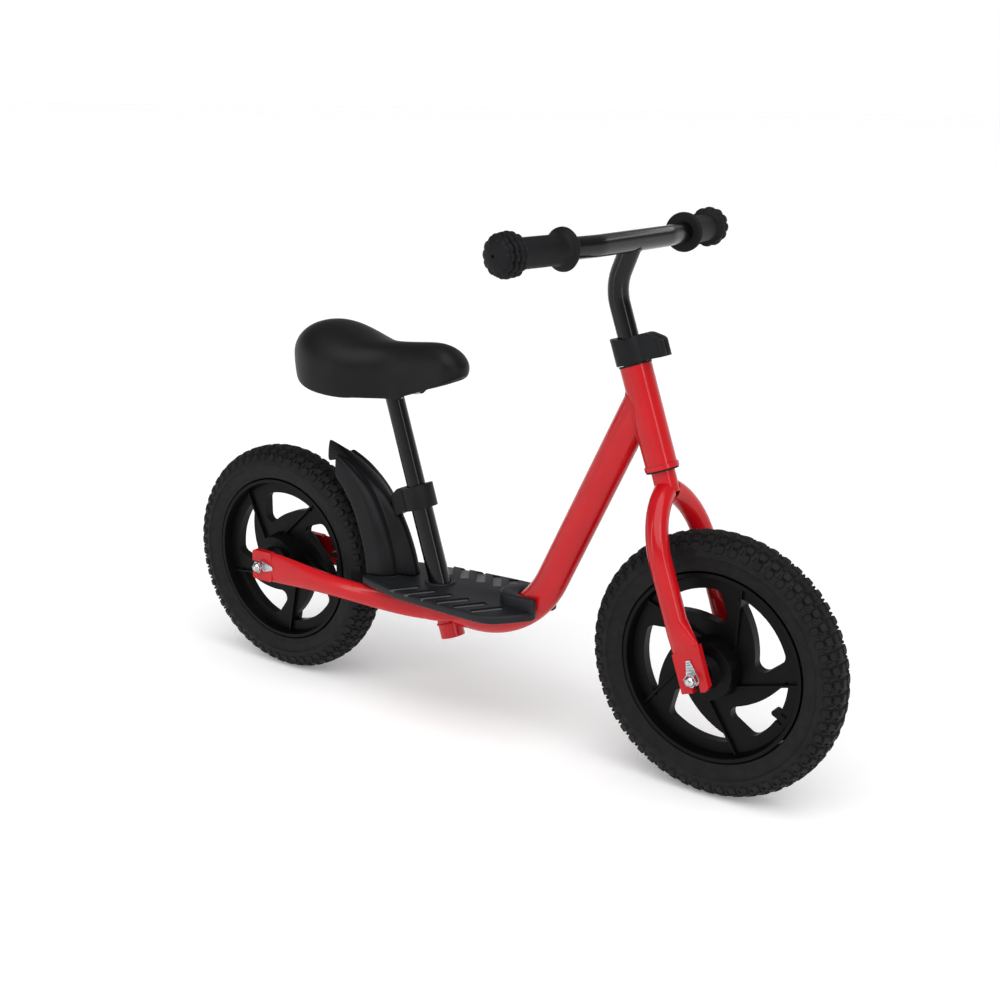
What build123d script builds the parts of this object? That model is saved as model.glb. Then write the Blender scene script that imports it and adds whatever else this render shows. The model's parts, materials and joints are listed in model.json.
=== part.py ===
from build123d import *
import os
from math import cos, radians, sin, tan

# A child's balance bike with 12 inch foam tyres, a footrest and a rear mudguard.
# Millimetres. +X is forward, +Y is the rider's left, +Z is up. The origin is on the ground,
# midway between the two axles.

# Wheels
WHEELBASE = 607.0
TYRE_D = 290.0
TYRE_WIDTH = 46.4
TYRE_SEAT_D = 206.0
RIM_WIDTH = 36.0
RIM_WALL = 7.0
RIM_LIP = 3.0
WEB_THICKNESS = 12.0
WINDOW_COUNT = 5
WINDOW_OUTER_R = 84.0
WINDOW_TIP_ANGLE = 75.8
WINDOW_WAIST_R = 65.5
WINDOW_WAIST_ANGLE = 54.0
WINDOW_ROOT_R = 44.0
WINDOW_ROOT_ANGLE = -8.4
WINDOW_END_ANGLE = 16.8
WINDOW_END_FILLET = 9.0
WINDOW_TIP_FILLET = 1.5
REAR_WHEEL_TURN = 58.4
NOTCH_ANGLE = 45.5
NOTCH_SLOT = 3.2
NOTCH_DEPTH = 8.0
NOTCH_FINGER = 6.6
HUB_DISC_D = 62.0
HUB_DISC_WIDTH = 56.0
HUB_NOSE_D = 30.0
HUB_NOSE_WIDTH = 76.0
SPOKE_RIB_WIDTH = 2.4
SPOKE_RIB_HEIGHT = 4.0
SPOKE_RIB_OFFSET = 23.0
SPOKE_RIB_ANGLE = -3.0

# Axles and what is on them
AXLE_D = 8.0
AXLE_PROTRUSION = 8.0
BEARING_D = 22.0
BEARING_WIDTH = 7.0
NUT_FLATS = 13.0
NUT_HEIGHT = 6.0
CONE_D = 16.0
TAB_LENGTH = 20.0
TAB_WIDTH = 15.0
TAB_THICKNESS = 1.5
DROPOUT_GAP = 88.0
DROPOUT_THICKNESS = 8.0
DROPOUT_SLOT = 9.0

# Steering: axis angle from the ground, and how far the axle stands ahead of the axis
HEAD_ANGLE = 70.8
FORK_RAKE = 5.0
CROWN_HEIGHT = 213.0
HEAD_TUBE_LENGTH = 111.0
HEAD_TUBE_D = 34.0
HEAD_TUBE_BORE = 29.0
HEAD_LIP_D = 37.0
HEAD_LIP_HEIGHT = 5.0
BUSH_FLANGE = 2.0
BUSH_DEPTH = 16.0
STEERER_D = 25.4
STEERER_BORE = 22.6
CROWN_DROP = 34.0
STEERER_START = 8.0

# Fork legs
LEG_D = 24.0
LEG_SPREAD = 97.0
LEG_ARCH_R = 75.0
LEG_WALL = 1.8
LEG_STRAIGHT_END = 62.0
LEG_FLAT_START = 28.0
LEG_FLAT_WIDTH = 34.0
LEG_END_DROP = 15.0

# Frame
TUBE_DEPTH = 38.0
TUBE_WIDTH = 31.0
TUBE_WALL = 1.8
TUBE_SLOPE = 64.25
TUBE_MEETS_HEAD = 77.0
TUBE_BASE_Z = 131.0
TUBE_BEND_R = 115.0
TUBE_REAR_X = -92.0
STAY_DEPTH = 26.0
STAY_THICKNESS = 16.0
STAY_END_DEPTH = 38.0
STAY_WALL = 1.6
STAY_FRONT_X = -66.0
SEAT_ANGLE = 72.5
SEAT_AXIS_X = -58.8
SEAT_AXIS_Z = 150.0
SEAT_TUBE_D = 25.4
SEAT_TUBE_BORE = 22.6
SEAT_TUBE_TOP = 128.0
SLEEVE_D = 28.8
SLEEVE_DROP = 56.0
SLEEVE_RISE = 5.0

# Footrest and mudguard
DECK_TOP = 160.0
DECK_SKIN = 4.0
DECK_SKIRT = 10.0
DECK_WALL = 3.0
DECK_REAR_X = -151.0
DECK_FRONT_X = 72.0
DECK_REAR_WIDTH = 100.0
DECK_FRONT_WIDTH = 132.0
DECK_CORNER_R = 34.0
COLLAR_LENGTH = 56.0
COLLAR_CORNER_R = 20.0
COLLAR_HEIGHT = 15.0
COLLAR_WALL = 9.0
POCKET_COUNT = 6
POCKET_PITCH = 24.0
POCKET_WIDTH = 10.0
POCKET_LENGTH = 38.0
POCKET_DEPTH = 2.0
POCKET_ANGLE = 55.0
POCKET_CENTRE_Y = 43.0
BRACKET_THICKNESS = 3.0
BRACKET_LENGTH = 70.0
BRACKET_WIDTH = 96.0
BRACKET_X = 4.0
SCREW_D = 4.0
SCREW_HEAD_D = 8.0
SCREW_HEAD_HEIGHT = 3.0
GUARD_EDGE_GAP = 14.0
GUARD_FOOT_DEPTH = 54.0
GUARD_TIP_DEPTH = 28.0
GUARD_WIDTH = 62.0
GUARD_SPINE_WIDTH = 22.0
GUARD_WALL = 3.0
GUARD_LOW_ANGLE = 4.0
GUARD_SIDE_ANGLE = 48.0
GUARD_TIP_ANGLE = 65.0
GUARD_TAPER_ANGLE = 40.0
GUARD_WIDTH_LOSS = 12.0

# Clamps: one moulding used twice
CLAMP_HEIGHT = 27.0
CLAMP_D = 39.0
CLAMP_REACH = 37.0
CLAMP_NOSE_WIDTH = 22.0
CLAMP_SLIT = 2.0
CLAMP_BOLT_D = 5.0
CLAMP_BOLT_INSET = 9.0
CLAMP_BOLT_HEAD_D = 9.0
CLAMP_BOLT_HEAD_HEIGHT = 4.0
CLAMP_BOLT_END = 8.0
CLAMP_NUT_HEIGHT = 4.0

# Handlebar
STEM_D = 22.2
STEM_WALL = 1.8
STEM_DEPTH = 75.0
STEM_STRAIGHT = 37.0
STEM_BEND_R = 52.0
STEM_BEND = 41.0
STEM_TOP_RUN = 32.0
BAR_D = 22.2
BAR_SPAN = 426.0
BAR_STRAIGHT = 140.0
BAR_SWEEP = 8.0
BAR_BEND_R = 60.0
GRIP_LENGTH = 100.0
GRIP_D = 30.0
GRIP_FLANGE_D = 43.0
GRIP_FLANGE_WIDTH = 7.0
GRIP_KNOB_D = 45.0
GRIP_KNOB_LENGTH = 26.0
GRIP_END_WALL = 4.0

# Saddle
POST_D = 22.2
POST_WALL = 1.8
POST_DEPTH = 105.0
SADDLE_LENGTH = 242.0
SADDLE_WIDTH = 126.0
SADDLE_NOSE_WIDTH = 46.0
SADDLE_NOSE_X = -26.5
SADDLE_TOP = 457.0
SADDLE_BOTTOM = 384.0
SADDLE_PAD_HEIGHT = 9.0
SADDLE_SHELL_THICKNESS = 4.0
SADDLE_SHELL_INSET = 7.0
SADDLE_PLATE_LENGTH = 60.0
SADDLE_PLATE_WIDTH = 46.0
SADDLE_PLATE_THICKNESS = 3.0

# Clearances
RUNNING_FIT = 0.05
SLIDING_FIT = 0.10
BODY_GAP = 0.3
SCREW_FIT = 0.05

AXLE_Z = TYRE_D / 2
REAR_X = -WHEELBASE / 2
FRONT_X = WHEELBASE / 2
DROPOUT_INNER = DROPOUT_GAP / 2
DROPOUT_OUTER = DROPOUT_INNER + DROPOUT_THICKNESS

STEER_UP = Vector(-cos(radians(HEAD_ANGLE)), 0, sin(radians(HEAD_ANGLE)))
STEER_FORWARD = Vector(sin(radians(HEAD_ANGLE)), 0, cos(radians(HEAD_ANGLE)))
STEER_FOOT = Vector(FRONT_X, 0, AXLE_Z) - STEER_FORWARD * FORK_RAKE
HEAD_TOP = CROWN_HEIGHT + HEAD_TUBE_LENGTH
STEER_CLAMP = HEAD_TOP + BUSH_FLANGE + BODY_GAP
STEERER_TOP = STEER_CLAMP + CLAMP_HEIGHT - 2

SEAT_UP = Vector(-cos(radians(SEAT_ANGLE)), 0, sin(radians(SEAT_ANGLE)))
SEAT_FORWARD = Vector(sin(radians(SEAT_ANGLE)), 0, cos(radians(SEAT_ANGLE)))
SEAT_FOOT = Vector(SEAT_AXIS_X, 0, SEAT_AXIS_Z)
SEAT_CLAMP = SEAT_TUBE_TOP - CLAMP_HEIGHT + 2


def steer_plane(distance):
    """A plane square to the steering axis, with local X forward and local Y to the left."""
    return Plane(origin=STEER_FOOT + STEER_UP * distance, x_dir=STEER_FORWARD, z_dir=STEER_UP)


def seat_plane(distance):
    """A plane square to the seat tube, with local X forward and local Y to the left."""
    return Plane(origin=SEAT_FOOT + SEAT_UP * distance, x_dir=SEAT_FORWARD, z_dir=SEAT_UP)


def side_plane(x=0.0, y=0.0, z=0.0):
    """A plane seen from the rider's right, with local X forward and local Y up."""
    return Plane(origin=(x, y, z), x_dir=(1, 0, 0), z_dir=(0, -1, 0))


def cross_plane(x, y=0.0, z=0.0):
    """A plane across the bike, with local X up and local Y to the right."""
    return Plane(origin=(x, y, z), x_dir=(0, 0, 1), z_dir=(1, 0, 0))


def save(name, part):
    part.label = name
    export_step(part, f"parts/{name}.step")


def tube(plane, outer_d, bore_d, length):
    """A round tube that starts on the plane and follows its normal."""
    with BuildPart() as piece:
        with BuildSketch(plane):
            Circle(outer_d / 2)
            if bore_d:
                Circle(bore_d / 2, mode=Mode.SUBTRACT)
        extrude(amount=length)
    return piece.part


# Wheels

def tyre(axle_x):
    half = TYRE_WIDTH / 2
    seat = TYRE_SEAT_D / 2
    with BuildPart() as piece:
        with BuildSketch(Plane(origin=(axle_x, 0, AXLE_Z), x_dir=(0, 1, 0), z_dir=(1, 0, 0))):
            with BuildLine():
                Polyline((-RIM_WIDTH / 2, seat), (RIM_WIDTH / 2, seat), (half, seat + 16))
                ThreePointArc((half, seat + 16), (half * 0.62, TYRE_D / 2 - 5), (0, TYRE_D / 2))
                ThreePointArc((0, TYRE_D / 2), (-half * 0.62, TYRE_D / 2 - 5), (-half, seat + 16))
                Line((-half, seat + 16), (-RIM_WIDTH / 2, seat))
            make_face()
        revolve(axis=Axis((axle_x, 0, AXLE_Z), (0, 1, 0)))
    return piece.part


def polar(radius, angle):
    return Vector(radius, 0).rotate(Axis.Z, angle)


def window_outline():
    """One curved window: a long edge beside one spoke, a blunt end beside the next."""
    tip = polar(WINDOW_OUTER_R, WINDOW_TIP_ANGLE)
    waist = polar(WINDOW_WAIST_R, WINDOW_WAIST_ANGLE)
    root = polar(WINDOW_ROOT_R, WINDOW_ROOT_ANGLE)
    end = polar(WINDOW_OUTER_R, WINDOW_END_ANGLE)
    outer_middle = polar(WINDOW_OUTER_R, (WINDOW_TIP_ANGLE + WINDOW_END_ANGLE) / 2)
    with BuildSketch() as outline:
        with BuildLine():
            ThreePointArc(tip, waist, root)
            Line(root, end)
            ThreePointArc(end, outer_middle, tip)
        make_face()
        fillet(outline.vertices().sort_by(Axis.Y)[:2], WINDOW_END_FILLET)
        fillet(outline.vertices().sort_by(Axis.Y)[-1], WINDOW_TIP_FILLET)
    return outline.sketch


def notched_window():
    """The same window with two short slots in its outer edge, and a round finger between them."""
    spot = Plane(origin=polar(WINDOW_OUTER_R, NOTCH_ANGLE), x_dir=polar(1, NOTCH_ANGLE))
    slot_y = (NOTCH_FINGER + NOTCH_SLOT) / 2
    with BuildSketch(spot) as slots:
        with Locations((0, slot_y), (0, -slot_y)):
            Rectangle(2 * NOTCH_DEPTH, NOTCH_SLOT)
    with BuildSketch(spot) as finger:
        with Locations((NOTCH_DEPTH / 2, 0)):
            SlotOverall(3 * NOTCH_DEPTH, NOTCH_FINGER)
    with BuildSketch() as outline:
        add(window_outline())
        add(slots.sketch)
        add(finger.sketch, mode=Mode.SUBTRACT)
    return outline.sketch


def wheel_windows(turn, flipped):
    """All the windows of one wheel; the rear wheel is mounted the other way round."""
    with BuildSketch() as outline:
        add(notched_window())
        for i in range(1, WINDOW_COUNT):
            add(window_outline(), rotation=i * 360 / WINDOW_COUNT)
    windows = outline.sketch
    if flipped:
        windows = windows.mirror(Plane.XZ)
    return windows.rotate(Axis.Z, turn)


def spoke_ribs(turn, flipped):
    """Thin ribs, one along each spoke, tangent to the hub."""
    inner = HUB_DISC_D / 4
    outer = TYRE_SEAT_D / 2 - RIM_WALL / 2
    outer_y = (outer ** 2 - SPOKE_RIB_OFFSET ** 2) ** 0.5
    with BuildSketch() as outline:
        with Locations((SPOKE_RIB_OFFSET, (inner + outer_y) / 2)):
            Rectangle(SPOKE_RIB_WIDTH, outer_y - inner)
    rib = outline.sketch.rotate(Axis.Z, SPOKE_RIB_ANGLE)
    if flipped:
        rib = rib.mirror(Plane.XZ)
    with BuildSketch() as ribs:
        for i in range(WINDOW_COUNT):
            add(rib, rotation=turn + i * 360 / WINDOW_COUNT)
    return ribs.sketch


def rim(axle_x, turn, flipped):
    seat = TYRE_SEAT_D / 2
    inner = seat - RIM_WALL
    web = WEB_THICKNESS / 2
    with BuildPart() as piece:
        with BuildSketch(Plane(origin=(axle_x, 0, AXLE_Z), x_dir=(0, 1, 0), z_dir=(1, 0, 0))):
            with BuildLine():
                half = Polyline(
                    (0, AXLE_D / 2 + 1),
                    (HUB_NOSE_WIDTH / 2, AXLE_D / 2 + 1),
                    (HUB_NOSE_WIDTH / 2, HUB_NOSE_D / 2),
                    (HUB_DISC_WIDTH / 2, HUB_NOSE_D / 2 + 4),
                    (HUB_DISC_WIDTH / 2, HUB_DISC_D / 2),
                    (web, HUB_DISC_D / 2 + 3),
                    (web, inner),
                    (RIM_WIDTH / 2, inner + RIM_LIP),
                    (RIM_WIDTH / 2, seat),
                    (0, seat),
                )
                mirror(half, about=Plane.YZ)
            make_face()
        revolve(axis=Axis((axle_x, 0, AXLE_Z), (0, 1, 0)))
        with BuildSketch(side_plane(axle_x, 0, AXLE_Z)):
            add(wheel_windows(turn, flipped))
        extrude(amount=RIM_WIDTH, both=True, mode=Mode.SUBTRACT)
        with BuildSketch(side_plane(axle_x, 0, AXLE_Z)):
            add(spoke_ribs(turn, flipped))
        extrude(amount=web + SPOKE_RIB_HEIGHT, both=True)
        # seats for the bearings, open to each side
        for side in (1, -1):
            with BuildSketch(side_plane(axle_x, side * HUB_NOSE_WIDTH / 2, AXLE_Z)):
                Circle(BEARING_D / 2)
            extrude(amount=side * BEARING_WIDTH, mode=Mode.SUBTRACT)
    return piece.part.solids().sort_by(SortBy.VOLUME)[-1]


def bearings(axle_x):
    with BuildPart() as piece:
        for side in (1, -1):
            with BuildSketch(side_plane(axle_x, side * HUB_NOSE_WIDTH / 2, AXLE_Z)):
                Circle(BEARING_D / 2)
                Circle(AXLE_D / 2 + RUNNING_FIT, mode=Mode.SUBTRACT)
            extrude(amount=side * BEARING_WIDTH)
    return piece.part


def axle(axle_x):
    half = DROPOUT_OUTER + AXLE_PROTRUSION
    return tube(side_plane(axle_x, half, AXLE_Z), AXLE_D, 0, 2 * half)


def cone_nuts(axle_x):
    """The lock nuts between each bearing and its dropout."""
    start = HUB_NOSE_WIDTH / 2 + BODY_GAP
    with BuildPart() as piece:
        for side in (1, -1):
            with BuildSketch(side_plane(axle_x, side * start, AXLE_Z)):
                Circle(CONE_D / 2)
                Circle(AXLE_D / 2, mode=Mode.SUBTRACT)
            extrude(amount=-side * (DROPOUT_INNER - start))
    return piece.part


def tab_washers(axle_x, tab_angle):
    """Safety washers with a tab that lies along the leg or stay."""
    with BuildPart() as piece:
        for side in (1, -1):
            with BuildSketch(side_plane(axle_x, side * DROPOUT_OUTER, AXLE_Z)) as outline:
                Circle(TAB_WIDTH / 2)
                with BuildLine():
                    Polyline(
                        (0, TAB_WIDTH / 2),
                        (TAB_LENGTH, 2.5),
                        (TAB_LENGTH, -2.5),
                        (0, -TAB_WIDTH / 2),
                        close=True,
                    )
                make_face()
                Circle(AXLE_D / 2, mode=Mode.SUBTRACT)
            extrude(amount=-side * TAB_THICKNESS)
    spin = Axis((axle_x, 0, AXLE_Z), (0, -1, 0))
    return piece.part.rotate(spin, tab_angle)


def dome_nuts(axle_x):
    """Domed cap nuts: a hexagon with a half-round cap over the end of the axle."""
    start = DROPOUT_OUTER + TAB_THICKNESS
    dome_r = NUT_FLATS / 2 - 0.6
    with BuildPart() as piece:
        for side in (1, -1):
            with BuildSketch(side_plane(axle_x, side * start, AXLE_Z)):
                RegularPolygon(NUT_FLATS / 2, 6, major_radius=False)
            extrude(amount=-side * NUT_HEIGHT)
            with Locations((axle_x, side * (start + NUT_HEIGHT), AXLE_Z)):
                Sphere(dome_r)
        add(axle(axle_x), mode=Mode.SUBTRACT)
    return piece.part


def wheel(end, axle_x, turn, flipped, tab_angle):
    save(f"{end}_tyre", tyre(axle_x))
    save(f"{end}_rim", rim(axle_x, turn, flipped))
    save(f"{end}_bearings", bearings(axle_x))
    save(f"{end}_axle", axle(axle_x))
    save(f"{end}_cone_nuts", cone_nuts(axle_x))
    save(f"{end}_tab_washers", tab_washers(axle_x, tab_angle))
    save(f"{end}_dome_nuts", dome_nuts(axle_x))


# Frame

def tube_bore(plane, bore_d, length):
    """A plain cylinder to cut away, from just before the plane."""
    return tube(plane.offset(-1), bore_d, 0, length + 2)


def down_tube_form(shrink=0.0):
    """The oval tube that leaves the head tube and bends to run back under the footrest."""
    head_point = STEER_FOOT + STEER_UP * (CROWN_HEIGHT + TUBE_MEETS_HEAD)
    corner_x = head_point.X - (head_point.Z - TUBE_BASE_Z) / tan(radians(TUBE_SLOPE))
    with BuildPart() as piece:
        with BuildLine(side_plane()):
            path = FilletPolyline(
                (head_point.X, head_point.Z),
                (corner_x, TUBE_BASE_Z),
                (TUBE_REAR_X, TUBE_BASE_Z),
                radius=TUBE_BEND_R,
            )
        with BuildSketch(Plane(origin=path @ 0, x_dir=(0, 1, 0), z_dir=path % 0)):
            Ellipse(TUBE_WIDTH / 2 - shrink, TUBE_DEPTH / 2 - shrink)
        sweep()
    return piece.part


def head_tube():
    with BuildPart() as piece:
        with BuildSketch(steer_plane(CROWN_HEIGHT)):
            Circle(HEAD_TUBE_D / 2)
        extrude(amount=HEAD_TUBE_LENGTH)
        with BuildSketch(steer_plane(CROWN_HEIGHT)):
            Circle(HEAD_LIP_D / 2)
        extrude(amount=HEAD_LIP_HEIGHT)
        add(tube_bore(steer_plane(CROWN_HEIGHT), HEAD_TUBE_BORE, HEAD_TUBE_LENGTH), mode=Mode.SUBTRACT)
    return piece.part


def down_tube():
    with BuildPart() as piece:
        add(down_tube_form())
        add(down_tube_form(TUBE_WALL), mode=Mode.SUBTRACT)
        add(tube_bore(steer_plane(CROWN_HEIGHT), HEAD_TUBE_D, HEAD_TUBE_LENGTH), mode=Mode.SUBTRACT)
        add(tube_bore(seat_plane(-SLEEVE_DROP), SLEEVE_D, SLEEVE_DROP + SLEEVE_RISE), mode=Mode.SUBTRACT)
    return piece.part.solids().sort_by(SortBy.VOLUME)[-1]


def headset_bush(start, facing):
    """A flanged plastic bush pressed into one end of the head tube."""
    flange = steer_plane(start) if facing > 0 else steer_plane(start - BUSH_FLANGE)
    barrel = steer_plane(start - BUSH_DEPTH) if facing > 0 else steer_plane(start)
    bore = STEERER_D + 2 * RUNNING_FIT
    with BuildPart() as piece:
        add(tube(flange, HEAD_TUBE_D + 1, bore, BUSH_FLANGE))
        add(tube(barrel, HEAD_TUBE_BORE, bore, BUSH_DEPTH))
    return piece.part


def stay_form(shrink=0.0):
    """The left stay: tall and thin at the axle, rounder where it meets the down tube."""
    middle_y = DROPOUT_INNER + DROPOUT_THICKNESS / 2
    thin = DROPOUT_THICKNESS / 2 - shrink
    round_half = STAY_THICKNESS / 2 - shrink
    deep_half = STAY_DEPTH / 2 - shrink
    with BuildPart() as piece:
        with BuildSketch(cross_plane(REAR_X + 14, middle_y, AXLE_Z)):
            Ellipse(STAY_END_DEPTH / 2 - shrink, thin)
        with BuildSketch(cross_plane(REAR_X + 66, middle_y - 2, AXLE_Z - 2)):
            Ellipse(STAY_END_DEPTH / 2 - 3 - shrink, thin + 2)
        with BuildSketch(cross_plane(REAR_X + 118, middle_y - 6, AXLE_Z - 6)):
            Ellipse(deep_half, round_half)
        with BuildSketch(cross_plane(REAR_X + 164, middle_y - 12, AXLE_Z - 9.5)):
            Ellipse(deep_half, round_half)
        with BuildSketch(cross_plane(STAY_FRONT_X, TUBE_WIDTH / 2 + 4, TUBE_BASE_Z)):
            Ellipse(deep_half, round_half)
        loft()
    return piece.part


def left_stay():
    middle_y = DROPOUT_INNER + DROPOUT_THICKNESS / 2
    with BuildPart() as piece:
        add(stay_form())
        add(stay_form(STAY_WALL), mode=Mode.SUBTRACT)
        # the end is pressed flat, with its rear edge square and the slot open to the rear
        with BuildSketch(side_plane(REAR_X + 1, middle_y, AXLE_Z)):
            RectangleRounded(32, STAY_END_DEPTH, 4)
        extrude(amount=DROPOUT_THICKNESS / 2, both=True)
        with BuildSketch(side_plane(REAR_X - 10, middle_y, AXLE_Z)):
            SlotCenterToCenter(20, DROPOUT_SLOT)
        extrude(amount=DROPOUT_THICKNESS, both=True, mode=Mode.SUBTRACT)
        add(down_tube_form(), mode=Mode.SUBTRACT)
        add(tube_bore(seat_plane(-SLEEVE_DROP), SLEEVE_D, SLEEVE_DROP + SLEEVE_RISE), mode=Mode.SUBTRACT)
    return piece.part.solids().sort_by(SortBy.VOLUME)[-1]


def mirrored(part):
    with BuildPart() as piece:
        mirror(part, about=Plane.XZ)
    return piece.part


def seat_sleeve():
    bore = SEAT_TUBE_D + 2 * SLIDING_FIT
    return tube(seat_plane(-SLEEVE_DROP), SLEEVE_D, bore, SLEEVE_DROP + SLEEVE_RISE)


def seat_tube():
    return tube(seat_plane(-SLEEVE_DROP), SEAT_TUBE_D, SEAT_TUBE_BORE, SLEEVE_DROP + SEAT_TUBE_TOP)


def clamp(plane, side, bore_d):
    """A split plastic clamp; its nose points along the local X of the plane, times side."""
    nose_x = side * (CLAMP_REACH - CLAMP_BOLT_INSET)
    with BuildPart() as piece:
        with BuildSketch(plane):
            Circle(CLAMP_D / 2)
            with Locations((side * CLAMP_REACH / 2, 0)):
                RectangleRounded(CLAMP_REACH, CLAMP_NOSE_WIDTH, 5)
            Circle(bore_d / 2, mode=Mode.SUBTRACT)
            with Locations((side * CLAMP_REACH / 2, 0)):
                Rectangle(CLAMP_REACH + 2, CLAMP_SLIT, mode=Mode.SUBTRACT)
        extrude(amount=CLAMP_HEIGHT)
        # the bolt's hole is open to the left and blind to the right, past the captive nut
        across = Plane(origin=plane.offset(CLAMP_HEIGHT / 2).from_local_coords((nose_x, 0, 0)),
                       x_dir=plane.x_dir, z_dir=plane.y_dir)
        with BuildSketch(across.offset(-CLAMP_BOLT_END)):
            Circle(CLAMP_BOLT_D / 2 + SCREW_FIT)
        extrude(amount=CLAMP_D, mode=Mode.SUBTRACT)
        with BuildSketch(across):
            RegularPolygon(CLAMP_BOLT_HEAD_D / 2, 6, major_radius=False)
        extrude(amount=-CLAMP_SLIT / 2 - CLAMP_NUT_HEIGHT, mode=Mode.SUBTRACT)
        # the nose is lower at its tip, underneath
        low = Plane(origin=plane.from_local_coords((side * CLAMP_REACH, 0, 0)),
                    x_dir=plane.x_dir, z_dir=plane.y_dir)
        with BuildSketch(low):
            with BuildLine():
                Polyline((0, 0), (-side * 18, 0), (0, -7), close=True)
            make_face()
        extrude(amount=CLAMP_D, both=True, mode=Mode.SUBTRACT)
    return piece.part


def clamp_bolt(plane, side):
    """A bolt across the clamp's nose: its head is outside on the left, its nut is let into the slit."""
    nose_x = side * (CLAMP_REACH - CLAMP_BOLT_INSET)
    across = Plane(origin=plane.offset(CLAMP_HEIGHT / 2).from_local_coords((nose_x, 0, 0)),
                   x_dir=plane.x_dir, z_dir=plane.y_dir)
    head_start = CLAMP_NOSE_WIDTH / 2
    with BuildPart() as bolt:
        add(tube(across.offset(1 - CLAMP_BOLT_END), CLAMP_BOLT_D, 0, head_start + CLAMP_BOLT_END - 1))
        add(tube(across.offset(head_start), CLAMP_BOLT_HEAD_D, 0, CLAMP_BOLT_HEAD_HEIGHT))
    with BuildPart() as nut:
        with BuildSketch(across.offset(-CLAMP_SLIT / 2 - CLAMP_NUT_HEIGHT)):
            RegularPolygon(CLAMP_BOLT_HEAD_D / 2, 6, major_radius=False)
            Circle(CLAMP_BOLT_D / 2, mode=Mode.SUBTRACT)
        extrude(amount=CLAMP_NUT_HEIGHT)
    return bolt.part, nut.part


# Footrest and mudguard

def screw_places():
    return [(BRACKET_X + dx, dy) for dx in (-25, 25) for dy in (-38, 38)]


def deck_bracket():
    """The pressed steel saddle that is welded over the down tube to carry the footrest."""
    top = DECK_TOP - DECK_SKIN - DECK_WALL
    with BuildPart() as piece:
        with BuildSketch(Plane.XY.offset(top - BRACKET_THICKNESS)):
            with Locations((BRACKET_X, 0)):
                RectangleRounded(BRACKET_LENGTH, BRACKET_WIDTH, 6)
            with Locations(*[Location((x, y, 0)) for x, y in screw_places()]):
                Circle(SCREW_D / 2 + SCREW_FIT, mode=Mode.SUBTRACT)
        extrude(amount=BRACKET_THICKNESS)
        with BuildSketch(Plane.XY.offset(top)):
            with Locations((BRACKET_X, 0)):
                Rectangle(BRACKET_LENGTH - 12, TUBE_WIDTH + 2)
        extrude(amount=-14)
        add(down_tube_form(), mode=Mode.SUBTRACT)
    return piece.part.solids().sort_by(SortBy.VOLUME)[-1]


def deck_outline(inset=0.0):
    """The footrest's plan: a narrow rear edge, widening forward to rounded corners."""
    rear = DECK_REAR_WIDTH / 2 - inset
    front = DECK_FRONT_WIDTH / 2 - inset
    rear_x = DECK_REAR_X + inset
    front_x = DECK_FRONT_X - inset
    with BuildSketch() as outline:
        with BuildLine():
            Polyline(
                (rear_x, -rear),
                (rear_x + 66, -(rear + front) / 2 - 5),
                (front_x - 40, -front),
                (front_x, -front),
                (front_x, front),
                (front_x - 40, front),
                (rear_x + 66, (rear + front) / 2 + 5),
                (rear_x, rear),
                close=True,
            )
        make_face()
        fillet(outline.vertices().sort_by(Axis.X)[-2:], DECK_CORNER_R - inset)
        fillet(outline.vertices().sort_by(Axis.X)[:2], 8)
    return outline.sketch


def pocket_places():
    """Centre and angle of each slanted pocket, first on the left and then on the right."""
    first_x = DECK_FRONT_X - DECK_CORNER_R
    return [
        (first_x - i * POCKET_PITCH, side * POCKET_CENTRE_Y, side * (180 - POCKET_ANGLE))
        for side in (1, -1)
        for i in range(POCKET_COUNT)
    ]


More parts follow.
